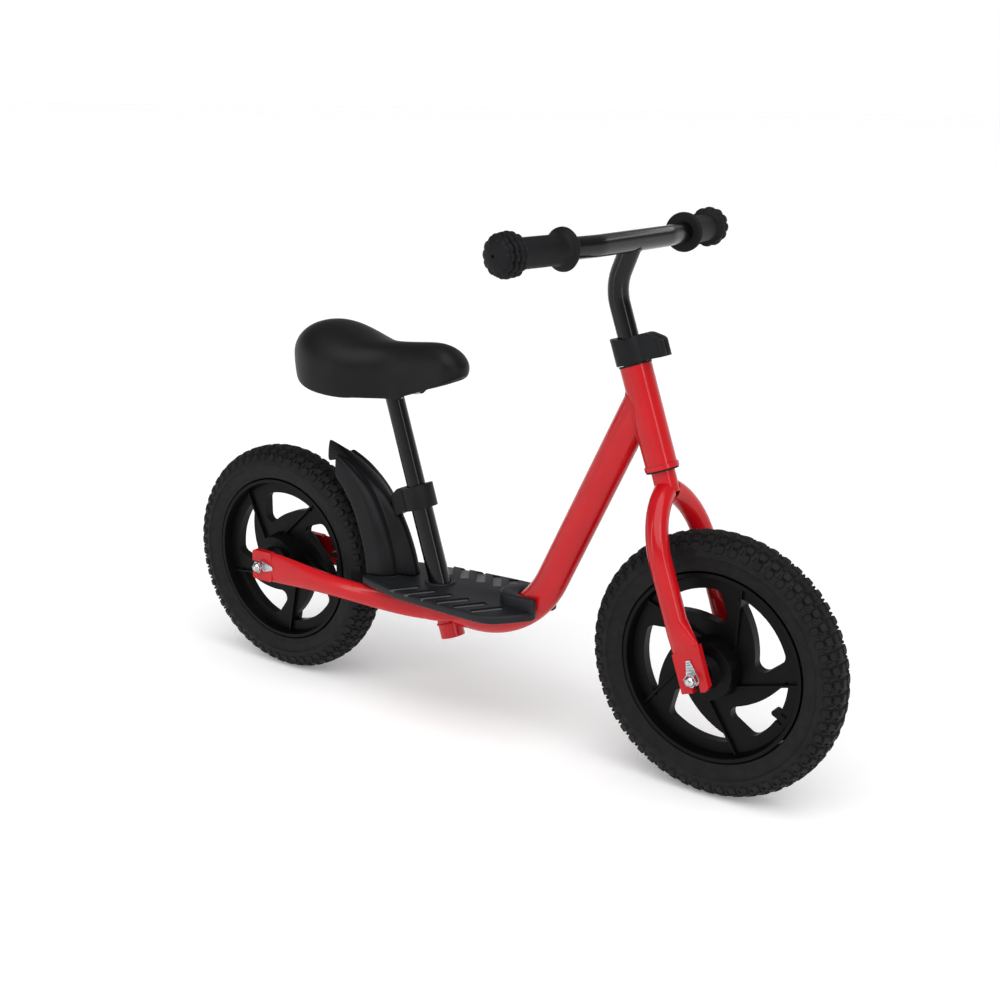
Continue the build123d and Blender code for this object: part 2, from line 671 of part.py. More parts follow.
def footrest():
    top = DECK_TOP
    collar_x = DECK_FRONT_X - COLLAR_LENGTH / 2 + 18
    collar_half = TUBE_WIDTH / 2 + BODY_GAP + COLLAR_WALL
    with BuildPart() as piece:
        with BuildSketch(Plane.XY.offset(top - DECK_SKIRT)):
            add(deck_outline())
        extrude(amount=DECK_SKIRT)
        chamfer(piece.faces().sort_by(Axis.Z)[-1].edges(), 2)
        with BuildSketch(Plane.XY.offset(top - DECK_SKIRT)):
            add(deck_outline(DECK_WALL))
        extrude(amount=DECK_SKIRT - DECK_SKIN, mode=Mode.SUBTRACT)
        # seats for the four screws, and two ribs that stand on the bracket
        with BuildSketch(Plane.XY.offset(top - DECK_SKIN - DECK_WALL)):
            with Locations(*[Location((x, y, 0)) for x, y in screw_places()]):
                Circle(SCREW_HEAD_D / 2)
            with Locations((BRACKET_X, -12), (BRACKET_X, 12)):
                Rectangle(BRACKET_LENGTH - 20, DECK_WALL)
        extrude(amount=DECK_WALL)
        # raised collar round the back and sides of the down tube
        with BuildSketch(Plane.XY.offset(top)):
            with Locations((collar_x, 0)):
                RectangleRounded(COLLAR_LENGTH, 2 * collar_half, COLLAR_CORNER_R)
        extrude(amount=COLLAR_HEIGHT)
        # slanted drain pockets in the top, on both sides
        with BuildSketch(Plane.XY.offset(top)):
            for x, y, angle in pocket_places():
                with Locations(Location((x, y, 0), angle)):
                    Rectangle(POCKET_LENGTH, POCKET_WIDTH)
        extrude(amount=-POCKET_DEPTH, mode=Mode.SUBTRACT)
        add(down_tube_form(-BODY_GAP), mode=Mode.SUBTRACT)
        with BuildSketch(Plane.XY.offset(top - DECK_SKIRT)):
            with Locations((DECK_FRONT_X + 22, 0)):
                Rectangle(60, TUBE_WIDTH + 2 * BODY_GAP)
        extrude(amount=DECK_SKIRT + COLLAR_HEIGHT, mode=Mode.SUBTRACT)
        add(tube_bore(seat_plane(-20), SEAT_TUBE_D + 2 * BODY_GAP, 60), mode=Mode.SUBTRACT)
        add(tube_bore(seat_plane(-20), SLEEVE_D + 2 * BODY_GAP, 20 + SLEEVE_RISE), mode=Mode.SUBTRACT)
        with BuildSketch(Plane.XY.offset(top - DECK_SKIN - DECK_WALL)):
            with Locations(*[Location((x, y, 0)) for x, y in screw_places()]):
                Circle(SCREW_D / 2 + SCREW_FIT)
        extrude(amount=DECK_WALL + 2, mode=Mode.SUBTRACT)
    return piece.part.solids().sort_by(SortBy.VOLUME)[-1]


def deck_screws():
    under = DECK_TOP - DECK_SKIN - DECK_WALL - BRACKET_THICKNESS
    with BuildPart() as piece:
        for x, y in screw_places():
            with BuildSketch(Plane(origin=(x, y, under - SCREW_HEAD_HEIGHT))):
                Circle(SCREW_HEAD_D / 2)
            extrude(amount=SCREW_HEAD_HEIGHT)
            with BuildSketch(Plane(origin=(x, y, under))):
                Circle(SCREW_D / 2)
            extrude(amount=BRACKET_THICKNESS + DECK_WALL + 1)
    return piece.part


def radial_plane(axle_x, angle):
    """A plane through a wheel's axis, with local X across the bike and local Y out from the axle."""
    a = radians(angle)
    return Plane(origin=(axle_x, 0, AXLE_Z), x_dir=(0, 1, 0), z_dir=(sin(a), 0, -cos(a)))


def guard_profile(depth, width, inset):
    """The mudguard's section is an arch, open towards the tyre."""
    edge_r = TYRE_D / 2 + GUARD_EDGE_GAP
    half = width / 2 - inset
    spine = GUARD_SPINE_WIDTH / 2 - inset * 0.6
    crease_r = edge_r + depth - 4 - inset
    with BuildSketch() as outline:
        with BuildLine():
            right = ThreePointArc((half, edge_r), (half - 4.5, edge_r + depth * 0.5), (spine, crease_r))
            crown = ThreePointArc(right @ 1, (0, crease_r + 4), (-spine, crease_r))
            left = ThreePointArc(crown @ 1, (4.5 - half, edge_r + depth * 0.5), (-half, edge_r))
            Line(left @ 1, right @ 0)
        make_face()
    return outline.sketch


def guard_form(inset=0.0):
    """The guard gets shallower from its foot to its tip, and narrows over its upper third."""
    steps = 6
    with BuildPart() as piece:
        for i in range(steps + 1):
            angle = GUARD_LOW_ANGLE + i * (GUARD_TIP_ANGLE - GUARD_LOW_ANGLE) / steps
            thinning = max(0, angle - GUARD_TAPER_ANGLE) / (GUARD_TIP_ANGLE - GUARD_TAPER_ANGLE)
            depth = GUARD_FOOT_DEPTH + (GUARD_TIP_DEPTH - GUARD_FOOT_DEPTH) * i / steps
            width = GUARD_WIDTH - thinning * GUARD_WIDTH_LOSS
            with BuildSketch(radial_plane(REAR_X, angle)):
                add(guard_profile(depth, width, inset))
        loft()
    return piece.part


def mudguard():
    """A deep arched guard that follows the rear tyre up from the footrest to a pointed tip."""
    edge_r = TYRE_D / 2 + GUARD_EDGE_GAP - 1
    side_end = polar(edge_r, GUARD_SIDE_ANGLE)
    tip = polar(edge_r + GUARD_TIP_DEPTH, GUARD_TIP_ANGLE - 1)
    with BuildPart() as piece:
        add(guard_form())
        add(guard_form(GUARD_WALL), mode=Mode.SUBTRACT)
        with BuildSketch(side_plane(REAR_X, 0, AXLE_Z)):
            with BuildLine():
                Polyline(side_end, tip, (0, edge_r + GUARD_FOOT_DEPTH), (0, 0), close=True)
            make_face()
        extrude(amount=GUARD_WIDTH, both=True, mode=Mode.SUBTRACT)
        # the foot is cut level, to stand on the footrest
        with BuildSketch(Plane.XY.offset(DECK_TOP - GUARD_FOOT_DEPTH)):
            with Locations((REAR_X + edge_r, 0)):
                Rectangle(3 * GUARD_FOOT_DEPTH, 2 * GUARD_WIDTH)
        extrude(amount=GUARD_FOOT_DEPTH, mode=Mode.SUBTRACT)
    return piece.part.solids().sort_by(SortBy.VOLUME)[-1]


# Fork

def steerer():
    """The steerer tube: turns in the headset bushes, and its slit top is squeezed on the stem."""
    start = CROWN_HEIGHT - CROWN_DROP + STEERER_START
    with BuildPart() as piece:
        add(tube(steer_plane(start), STEERER_D, STEERER_BORE, STEERER_TOP - start))
        with BuildSketch(steer_plane(STEER_CLAMP)):
            with Locations((STEERER_D / 2, 0)):
                Rectangle(STEERER_D / 2, CLAMP_SLIT)
        extrude(amount=CLAMP_HEIGHT, mode=Mode.SUBTRACT)
    return piece.part


def leg_form(shrink=0.0):
    """The left fork leg: it arches out from the crown and is pressed flat towards the axle."""
    r = LEG_D / 2 - shrink
    spread = LEG_SPREAD / 2
    arch_centre = spread - LEG_ARCH_R
    crotch = CROWN_HEIGHT - CROWN_DROP
    rise = ((LEG_ARCH_R - LEG_D / 2) ** 2 - arch_centre ** 2) ** 0.5
    bend_end = crotch - rise
    top_angle = 64
    front = Plane(origin=STEER_FOOT, x_dir=(0, 1, 0), z_dir=STEER_FORWARD)
    flat_y = DROPOUT_INNER + DROPOUT_THICKNESS / 2
    with BuildPart() as piece:
        with BuildLine(front):
            arch = CenterArc((arch_centre, bend_end), LEG_ARCH_R, top_angle, -top_angle)
            Line(arch @ 1, (spread, LEG_STRAIGHT_END))
        with BuildSketch(Plane(origin=arch @ 0, x_dir=STEER_FORWARD, z_dir=arch % 0)):
            Circle(r)
        sweep()
        with BuildSketch(steer_plane(LEG_STRAIGHT_END)):
            with Locations((0, spread)):
                Circle(r)
        with BuildSketch(steer_plane((LEG_STRAIGHT_END + LEG_FLAT_START) / 2)):
            with Locations((FORK_RAKE * 0.3, spread)):
                Ellipse(LEG_FLAT_WIDTH / 2 - 2 - shrink, LEG_D * 0.36 - shrink)
        with BuildSketch(steer_plane(LEG_FLAT_START)):
            with Locations((FORK_RAKE * 0.7, flat_y)):
                Ellipse(LEG_FLAT_WIDTH / 2 - shrink, DROPOUT_THICKNESS / 2 - shrink)
        loft()
    return piece.part


def left_fork_leg():
    flat_y = DROPOUT_INNER + DROPOUT_THICKNESS / 2
    length = LEG_FLAT_START + LEG_END_DROP + 6
    blade = Plane(origin=STEER_FOOT + Vector(0, flat_y, 0), x_dir=STEER_FORWARD, z_dir=(0, -1, 0))
    with BuildPart() as piece:
        add(leg_form())
        add(leg_form(LEG_WALL), mode=Mode.SUBTRACT)
        with BuildSketch(blade) as end:
            with Locations((FORK_RAKE * 0.7, length / 2 - LEG_END_DROP)):
                Rectangle(LEG_FLAT_WIDTH - 1, length)
            low_corners = end.vertices().group_by(Axis.Z)[0].sort_by(Axis.X)
            chamfer(low_corners[0], LEG_END_DROP * 0.45, LEG_END_DROP * 0.9)
            chamfer(low_corners[-1], LEG_END_DROP * 0.3)
        extrude(amount=DROPOUT_THICKNESS / 2, both=True)
        with BuildSketch(blade):
            with Locations((FORK_RAKE, -LEG_END_DROP)):
                SlotCenterToCenter(2 * LEG_END_DROP, DROPOUT_SLOT, rotation=90)
        extrude(amount=DROPOUT_THICKNESS, both=True, mode=Mode.SUBTRACT)
        with BuildSketch(steer_plane(CROWN_HEIGHT - CROWN_DROP + STEERER_START)):
            Circle(STEERER_D / 2)
        extrude(amount=CROWN_DROP, mode=Mode.SUBTRACT)
        split(bisect_by=Plane.XZ, keep=Keep.BOTTOM)
    return piece.part.solids().sort_by(SortBy.VOLUME)[-1]


# Handlebar

def stem():
    """The stem tube: straight inside the steerer, then bent forward to the bar."""
    clamp_top = STEERER_TOP
    bend_start = clamp_top + STEM_STRAIGHT
    side = Plane(origin=STEER_FOOT, x_dir=STEER_FORWARD, z_dir=(0, -1, 0))
    with BuildPart() as piece:
        with BuildLine(side):
            straight = Line((0, clamp_top - STEM_DEPTH), (0, bend_start))
            bend = CenterArc((STEM_BEND_R, bend_start), STEM_BEND_R, 180, -STEM_BEND)
            Line(bend @ 1, (bend @ 1) + (bend % 1) * STEM_TOP_RUN)
        with BuildSketch(steer_plane(clamp_top - STEM_DEPTH)):
            Circle(STEM_D / 2)
            Circle(STEM_D / 2 - STEM_WALL, mode=Mode.SUBTRACT)
        sweep()
        add(bar_form(), mode=Mode.SUBTRACT)
    return piece.part.solids().sort_by(SortBy.VOLUME)[-1]


def bar_centre():
    """Where the bar crosses the stem's own line."""
    bend = radians(STEM_BEND)
    forward = STEM_BEND_R * (1 - cos(bend)) + STEM_TOP_RUN * sin(bend)
    height = STEERER_TOP + STEM_STRAIGHT + STEM_BEND_R * sin(bend) + STEM_TOP_RUN * cos(bend)
    return STEER_FOOT + STEER_FORWARD * forward + STEER_UP * height


def bar_plane():
    return Plane(origin=bar_centre(), x_dir=(1, 0, 0), z_dir=(0, 0, 1))


def bar_form(shrink=0.0):
    """The bar: a straight middle, with both ends swept back."""
    sweep_back = radians(BAR_SWEEP)
    end_y = BAR_SPAN / 2
    end_x = -(end_y - BAR_STRAIGHT / 2) * tan(sweep_back)
    middle = BAR_STRAIGHT / 2
    with BuildPart() as piece:
        with BuildLine(bar_plane()):
            path = FilletPolyline(
                (end_x, -end_y), (0, -middle), (0, middle), (end_x, end_y), radius=BAR_BEND_R
            )
        with BuildSketch(Plane(origin=path @ 0, x_dir=(0, 0, 1), z_dir=path % 0)):
            Circle(BAR_D / 2 - shrink)
        sweep()
    return piece.part


def handlebar_tube():
    with BuildPart() as piece:
        add(bar_form())
        add(bar_form(STEM_WALL), mode=Mode.SUBTRACT)
    return piece.part


def left_grip():
    """A rubber grip: flange, slim body and a stepped knob that closes over the end of the bar."""
    sweep_back = radians(BAR_SWEEP)
    end_y = BAR_SPAN / 2
    end = bar_centre() + Vector(-(end_y - BAR_STRAIGHT / 2) * tan(sweep_back), end_y, 0)
    outward = Vector(-sin(sweep_back), cos(sweep_back), 0)
    lower = Plane(origin=end, x_dir=(0, 0, 1), z_dir=(-outward.Y, outward.X, 0))
    knob_start = GRIP_END_WALL - GRIP_KNOB_LENGTH
    flange_start = GRIP_END_WALL - GRIP_LENGTH
    with BuildPart() as piece:
        with BuildSketch(lower):
            with BuildLine():
                Polyline(
                    (0, GRIP_END_WALL),
                    (0, flange_start),
                    (GRIP_FLANGE_D / 2 - 2, flange_start),
                    (GRIP_FLANGE_D / 2, flange_start + 2),
                    (GRIP_FLANGE_D / 2, flange_start + GRIP_FLANGE_WIDTH - 3),
                    (GRIP_D / 2, flange_start + GRIP_FLANGE_WIDTH + 2),
                    (GRIP_D / 2, knob_start),
                    (GRIP_KNOB_D / 2 - 1, knob_start + 2),
                    (GRIP_KNOB_D / 2, knob_start + 8),
                    (GRIP_KNOB_D / 2 - 4, GRIP_END_WALL - 7),
                    (GRIP_KNOB_D / 2 - 12, GRIP_END_WALL - 1),
                    (0, GRIP_END_WALL),
                )
            make_face()
        revolve(axis=Axis(end, outward))
        add(bar_form(), mode=Mode.SUBTRACT)
    return piece.part.solids().sort_by(SortBy.VOLUME)[-1]


# Saddle

def seat_post():
    """The post slides in the seat tube; its top is cut level, under the saddle's plate."""
    start = SEAT_TUBE_TOP - POST_DEPTH
    plate_bottom = SADDLE_BOTTOM - SADDLE_PLATE_THICKNESS
    length = (SADDLE_BOTTOM - SEAT_AXIS_Z) / SEAT_UP.Z - start + POST_D
    with BuildPart() as piece:
        add(tube(seat_plane(start), POST_D, POST_D - 2 * POST_WALL, length))
        split(bisect_by=Plane.XY.offset(plate_bottom), keep=Keep.BOTTOM)
    return piece.part


def saddle_tail_x():
    return SADDLE_NOSE_X - SADDLE_LENGTH


def saddle_plan(inset=0.0):
    """The saddle from above: a broad round tail, a waist and a round nose."""
    tail_r = SADDLE_WIDTH / 2 - inset
    nose_r = SADDLE_NOSE_WIDTH / 2 - inset
    tail_x = saddle_tail_x() + tail_r + inset
    nose_x = SADDLE_NOSE_X - nose_r - inset
    waist = Vector(tail_x + (nose_x - tail_x) * 0.5, nose_r + (tail_r - nose_r) * 0.24)
    with BuildSketch() as outline:
        with Locations((tail_x, 0)):
            Circle(tail_r)
        with Locations((nose_x, 0)):
            Circle(nose_r)
        with BuildLine():
            left = Spline((tail_x, tail_r), waist, (nose_x, nose_r), tangents=((1, 0), (1, 0)))
            right = Spline((tail_x, -tail_r), (waist.X, -waist.Y), (nose_x, -nose_r),
                           tangents=((1, 0), (1, 0)))
            Line(left @ 0, right @ 0)
            Line(left @ 1, right @ 1)
        make_face()
    return outline.sketch


def saddle_side():
    """The saddle from the side: a high round tail, a dip, and a nose that turns down."""
    tail = saddle_tail_x()
    nose = SADDLE_NOSE_X
    waist_z = (SADDLE_TOP + SADDLE_BOTTOM) / 2 - 7
    with BuildSketch(side_plane()) as outline:
        with BuildLine():
            Spline(
                (tail, waist_z),
                (tail + 20, SADDLE_TOP - 10.5),
                (tail + 58, SADDLE_TOP),
                (tail + 100, SADDLE_TOP - 9),
                (tail + 133, SADDLE_TOP - 16.5),
                (nose - 50, SADDLE_TOP - 12.5),
                (nose - 11, SADDLE_TOP - 22),
                (nose, waist_z),
                (nose - 14, SADDLE_BOTTOM + 22),
                (nose - 48, SADDLE_BOTTOM + 12),
                (nose - 100, SADDLE_BOTTOM + 1),
                (tail + 80, SADDLE_BOTTOM),
                (tail + 24, SADDLE_BOTTOM + 9),
                periodic=True,
            )
        make_face()
    return outline.sketch


def saddle_form(lift=0.0, inset=0.0):
    with BuildPart() as piece:
        with BuildSketch(Plane.XY.offset(SADDLE_BOTTOM - 20)):
            add(saddle_plan(inset))
        extrude(amount=2 * (SADDLE_TOP - SADDLE_BOTTOM))
        extrude(saddle_side().translate((0, 0, lift)), amount=SADDLE_WIDTH, both=True, mode=Mode.INTERSECT)
    return piece.part


def saddle_plate_centre():
    """The middle of the plate is where the post's axis meets it."""
    rise = (SADDLE_BOTTOM - SEAT_AXIS_Z) / SEAT_UP.Z
    return SEAT_FOOT + SEAT_UP * rise


def saddle_screw_places():
    centre = saddle_plate_centre()
    dx = SADDLE_PLATE_LENGTH / 2 - 7
    dy = SADDLE_PLATE_WIDTH / 2 - 7
    return [Location((centre.X + i * dx, j * dy, 0)) for i in (-1, 1) for j in (-1, 1)]


def saddle_plate_outline():
    centre = saddle_plate_centre()
    with BuildSketch() as outline:
        with Locations((centre.X, 0)):
            RectangleRounded(SADDLE_PLATE_LENGTH, SADDLE_PLATE_WIDTH, 6)
        with Locations(*saddle_screw_places()):
            Circle(SCREW_D / 2 + SCREW_FIT, mode=Mode.SUBTRACT)
    return outline.sketch


def saddle_plate():
    with BuildPart() as piece:
        with BuildSketch(Plane.XY.offset(SADDLE_BOTTOM - SADDLE_PLATE_THICKNESS)):
            add(saddle_plate_outline())
        extrude(amount=SADDLE_PLATE_THICKNESS)
    return piece.part


def saddle_base():
    """The plastic shell under the padding, with a flat pad where the plate is screwed on."""
    with BuildPart() as piece:
        add(saddle_form(0, SADDLE_SHELL_INSET))
        add(saddle_form(SADDLE_SHELL_THICKNESS), mode=Mode.SUBTRACT)
        with BuildSketch(Plane.XY.offset(SADDLE_BOTTOM)):
            add(saddle_plate_outline())
        extrude(amount=SADDLE_PAD_HEIGHT)
        with BuildSketch(Plane.XY.offset(SADDLE_BOTTOM)):
            with Locations((saddle_plate_centre().X, 0)):
                Rectangle(SADDLE_PLATE_LENGTH + 2, SADDLE_PLATE_WIDTH + 2)
        extrude(amount=-SADDLE_PAD_HEIGHT, mode=Mode.SUBTRACT)
        with BuildSketch(Plane.XY.offset(SADDLE_BOTTOM)):
            with Locations(*saddle_screw_places()):
                Circle(SCREW_D / 2 + SCREW_FIT)
        extrude(amount=SADDLE_PAD_HEIGHT, mode=Mode.SUBTRACT)
    return piece.part.solids().sort_by(SortBy.VOLUME)[-1]


def saddle_screws():
    head_top = SADDLE_BOTTOM - SADDLE_PLATE_THICKNESS
    with BuildPart() as piece:
        with BuildSketch(Plane.XY.offset(head_top - SCREW_HEAD_HEIGHT)):
            with Locations(*saddle_screw_places()):
                Circle(SCREW_HEAD_D / 2)
        extrude(amount=SCREW_HEAD_HEIGHT)
        with BuildSketch(Plane.XY.offset(head_top)):
            with Locations(*saddle_screw_places()):
                Circle(SCREW_D / 2)
        extrude(amount=SADDLE_PLATE_THICKNESS + SADDLE_PAD_HEIGHT - 1)
    return piece.part


def saddle_cover(base):
    """The padded cover as a plain closed solid, seated on the shell."""
    centre = saddle_plate_centre()
    with BuildPart() as piece:
        add(saddle_form())
        add(base, mode=Mode.SUBTRACT)
        with BuildSketch(Plane.XY.offset(SADDLE_BOTTOM - 1)):
            with Locations((centre.X, 0)):
                RectangleRounded(SADDLE_PLATE_LENGTH, SADDLE_PLATE_WIDTH, 6)
        extrude(amount=SADDLE_PAD_HEIGHT + 1, mode=Mode.SUBTRACT)
    return piece.part.solids().sort_by(SortBy.VOLUME)[-1]


def wheels():
    wheel("rear", REAR_X, REAR_WHEEL_TURN, True, 0)
    wheel("front", FRONT_X, -360 / WINDOW_COUNT, False, 180 - HEAD_ANGLE)


def frame():
    stay = left_stay()
    seat_clamp_bolt, seat_clamp_nut = clamp_bolt(seat_plane(SEAT_CLAMP), -1)
    save("head_tube", head_tube())
    save("down_tube", down_tube())
    save("left_stay", stay)
    save("right_stay", mirrored(stay))
    save("seat_sleeve", seat_sleeve())
    save("seat_tube", seat_tube())
    save("seat_clamp", clamp(seat_plane(SEAT_CLAMP), -1, SEAT_TUBE_D))
    save("seat_clamp_bolt", seat_clamp_bolt)
    save("seat_clamp_nut", seat_clamp_nut)
    save("upper_headset_bush", headset_bush(HEAD_TOP, 1))
    save("lower_headset_bush", headset_bush(CROWN_HEIGHT, -1))
    save("deck_bracket", deck_bracket())
    save("deck_screws", deck_screws())
    save("footrest", footrest())
    save("mudguard", mudguard())


def fork():
    leg = left_fork_leg()
    bar_clamp_bolt, bar_clamp_nut = clamp_bolt(steer_plane(STEER_CLAMP), 1)
    save("steerer", steerer())
    save("left_fork_leg", leg)
    save("right_fork_leg", mirrored(leg))
    save("handlebar_clamp", clamp(steer_plane(STEER_CLAMP), 1, STEERER_D))
    save("handlebar_clamp_bolt", bar_clamp_bolt)
    save("handlebar_clamp_nut", bar_clamp_nut)


def handlebar():
    grip = left_grip()
    save("stem", stem())
    save("handlebar_tube", handlebar_tube())
    save("left_grip", grip)
    save("right_grip", mirrored(grip))


def saddle():
    base = saddle_base()
    save("seat_post", seat_post())
    save("saddle_plate", saddle_plate())
    save("saddle_screws", saddle_screws())
    save("saddle_base", base)
    save("saddle_cover", saddle_cover(base))


if __name__ == "__main__":
    os.makedirs("parts", exist_ok=True)
    wheels()
    frame()
    fork()
    handlebar()
    saddle()
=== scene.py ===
"""A child's balance bike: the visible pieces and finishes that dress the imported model."""

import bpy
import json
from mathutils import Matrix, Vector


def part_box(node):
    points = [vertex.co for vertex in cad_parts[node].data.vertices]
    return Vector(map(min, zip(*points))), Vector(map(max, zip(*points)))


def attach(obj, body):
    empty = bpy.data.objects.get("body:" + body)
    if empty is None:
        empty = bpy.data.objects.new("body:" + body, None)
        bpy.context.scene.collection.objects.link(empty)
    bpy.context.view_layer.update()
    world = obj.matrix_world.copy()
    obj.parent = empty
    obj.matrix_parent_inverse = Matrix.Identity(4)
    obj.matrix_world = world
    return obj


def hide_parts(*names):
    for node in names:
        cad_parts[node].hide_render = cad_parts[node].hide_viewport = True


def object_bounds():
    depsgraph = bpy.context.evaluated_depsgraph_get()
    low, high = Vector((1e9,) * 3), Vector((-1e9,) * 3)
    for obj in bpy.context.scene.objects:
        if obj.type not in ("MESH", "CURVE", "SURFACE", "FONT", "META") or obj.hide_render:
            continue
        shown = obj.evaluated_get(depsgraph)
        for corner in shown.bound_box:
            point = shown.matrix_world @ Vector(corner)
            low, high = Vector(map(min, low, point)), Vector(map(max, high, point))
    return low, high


bl_info = {
    "name": "Balance bike",
    "version": (1, 0, 0),
    "blender": (4, 5, 0),
    "location": "View3D > Sidebar > Balance bike",
    "description": "Builds a balance bike's tyres, saddle, footrest, guard, grips, clamps and finishes",
    "category": "Object",
}

import json
from math import atan2, cos, degrees, pi, radians, sin, sqrt, tau

import bmesh
import bpy
from bpy.props import FloatProperty, FloatVectorProperty, IntProperty, PointerProperty
from mathutils import Matrix, Vector
from mathutils.bvhtree import BVHTree

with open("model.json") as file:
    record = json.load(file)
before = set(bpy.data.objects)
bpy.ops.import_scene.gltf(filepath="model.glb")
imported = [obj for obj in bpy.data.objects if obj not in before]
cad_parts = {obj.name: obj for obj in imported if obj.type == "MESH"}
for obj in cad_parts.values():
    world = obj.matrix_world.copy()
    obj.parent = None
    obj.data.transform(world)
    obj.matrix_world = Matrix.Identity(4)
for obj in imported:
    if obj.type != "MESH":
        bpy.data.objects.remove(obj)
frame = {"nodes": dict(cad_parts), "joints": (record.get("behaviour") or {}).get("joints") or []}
cad_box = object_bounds()

MM = 0.001
JOINTS = {joint["name"]: joint for joint in frame["joints"]}
STEER_AXIS = Vector(JOINTS["steering"]["axis"])
SEAT_AXIS = Vector(JOINTS["saddle_height"]["axis"])
AXLES = {
    "front": Vector(JOINTS["front_wheel_spin"]["pos_m"]),
    "rear": Vector(JOINTS["rear_wheel_spin"]["pos_m"]),
}
# sizes in mm that several pieces share: the footrest's collar, the tubes' outer radii, the clamps
COLLAR_HEIGHT = 15
BAR_RADIUS = 11.1
SEAT_TUBE_HOLE = 13.2
CLAMP_RING = 19.5
CLAMP_BORE = 12.75
CLAMP_NOSE_HALF = 11
GUARD_CLEARANCE = 14
FORWARD = Vector((1, 0, 0))
LEFT = Vector((0, 1, 0))
UP = Vector((0, 0, 1))


# ---------------------------------------------------------------- places in the frame

def middle(node):
    """The middle of a node's box."""
    low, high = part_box(node)
    return (low + high) / 2


def reach(node, direction):
    """How far a node's mesh lies along a direction: its lowest and highest, in metres."""
    along = [direction.dot(v.co) for v in frame["nodes"][node].data.vertices]
    return min(along), max(along)


def local(origin, up, forward):
    """A matrix from local millimetres to the bike: local Z follows up, and local X leans to forward."""
    z = up.normalized()
    y = z.cross(forward).normalized()
    x = y.cross(z)
    turn = Matrix((x, y, z)).transposed().to_4x4()
    return Matrix.Translation(origin) @ turn @ Matrix.Scale(MM, 4)


def point_on_axis(node, axis, distance):
    """The point of a node's own centre line that lies at this distance along the axis."""
    centre = middle(node)
    return centre + axis * (distance - axis.dot(centre))


# ---------------------------------------------------------------- meshes

def grid_faces(rows, columns, close_rows=False, close_columns=True):
    """Quads over a grid of points that is stored row after row."""
    faces = []
    for i in range(rows if close_rows else rows - 1):
        for j in range(columns if close_columns else columns - 1):
            a, b = i * columns + j, i * columns + (j + 1) % columns
            c, d = (i + 1) % rows * columns + (j + 1) % columns, (i + 1) % rows * columns + j
            faces.append((a, b, c, d))
    return faces


def piece(name, points, faces, place, materials, sharp=40.0):
    """An object from points and faces, with doubles merged, faces outwards and smooth shading."""
    mesh = bpy.data.meshes.new(name)
    mesh.from_pydata([tuple(p) for p in points], [], faces)
    mesh.transform(place)
    for material in materials:
        mesh.materials.append(material)
    tidy_mesh(mesh)
    shade(mesh, sharp)
    made = bpy.data.objects.new(name, mesh)
    bpy.context.scene.collection.objects.link(made)
    return made


def tidy_mesh(mesh):
    """Merges doubles, clears slivers and turns the faces outwards."""
    work = bmesh.new()
    work.from_mesh(mesh)
    bmesh.ops.remove_doubles(work, verts=work.verts, dist=2e-6)
    bmesh.ops.dissolve_degenerate(work, edges=work.edges, dist=1e-6)
    bmesh.ops.recalc_face_normals(work, faces=work.faces)
    work.to_mesh(mesh)
    work.free()
    mesh.update()


def shade(mesh, sharp):
    """Smooth shading, with a hard line where faces meet at more than this angle."""
    mesh.shade_smooth()
    mesh.set_sharp_from_angle(angle=radians(sharp))


def turned(name, profile, place, materials, steps=96, sharp=40.0):
    """A solid turned round local Z from a profile of (radius, height) points."""
    points = [
        (r * cos(tau * i / steps), r * sin(tau * i / steps), h)
        for r, h in profile
        for i in range(steps)
    ]
    return piece(name, points, grid_faces(len(profile), steps), place, materials, sharp)


def bake(made):
    """Turns an object's modifiers into plain mesh."""
    bpy.context.view_layer.update()
    shape = made.evaluated_get(bpy.context.evaluated_depsgraph_get())
    mesh = bpy.data.meshes.new_from_object(shape)
    made.modifiers.clear()
    old = made.data
    made.data = mesh
    if isinstance(old, bpy.types.Mesh):
        bpy.data.meshes.remove(old)
    return made


def bevelled(made, width, segments=3, angle=35.0):
    """Rounds the edges by a width in mm."""
    bevel = made.modifiers.new("edges", "BEVEL")
    bevel.width = width * MM
    bevel.segments = segments
    bevel.limit_method = "ANGLE"
    bevel.angle_limit = radians(angle)
    bevel.use_clamp_overlap = True
    bake(made)
    shade(made.data, 50)
    return made


def smoothed(made, levels=1):
    """Subdivides a mesh into a smoother one."""
    surface = made.modifiers.new("smooth", "SUBSURF")
    surface.levels = levels
    surface.render_levels = levels
    bake(made)
    shade(made.data, 60)
    return made


def place_on(made, body, slot, *nodes):
    """Every piece rides on a body and may stand for CAD nodes, which are hidden. The slot is not used."""
    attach(made, body)
    if nodes:
        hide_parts(*nodes)
    return made


# ---------------------------------------------------------------- node trees

def add(tree, kind, sockets=None, **settings):
    """One node with its settings; sockets maps an input to a value or to another node's output."""
    made = tree.nodes.new(kind)
    for name, value in settings.items():
        setattr(made, name, value)
    for name, value in (sockets or {}).items():
        if isinstance(value, bpy.types.NodeSocket):
            tree.links.new(value, made.inputs[name])
        else:
            made.inputs[name].default_value = value
    return made


def geometry_tree(name, **sizes):
    """An empty geometry tree with one named float input for each size, in metres or a count."""
    tree = bpy.data.node_groups.new(name, "GeometryNodeTree")
    tree.interface.new_socket("Geometry", in_out="INPUT", socket_type="NodeSocketGeometry")
    tree.interface.new_socket("Geometry", in_out="OUTPUT", socket_type="NodeSocketGeometry")
    for size, value in sizes.items():
        kind = "NodeSocketInt" if isinstance(value, int) else "NodeSocketFloat"
        tree.interface.new_socket(size, in_out="INPUT", socket_type=kind).default_value = value
    return tree, add(tree, "NodeGroupInput"), add(tree, "NodeGroupOutput")


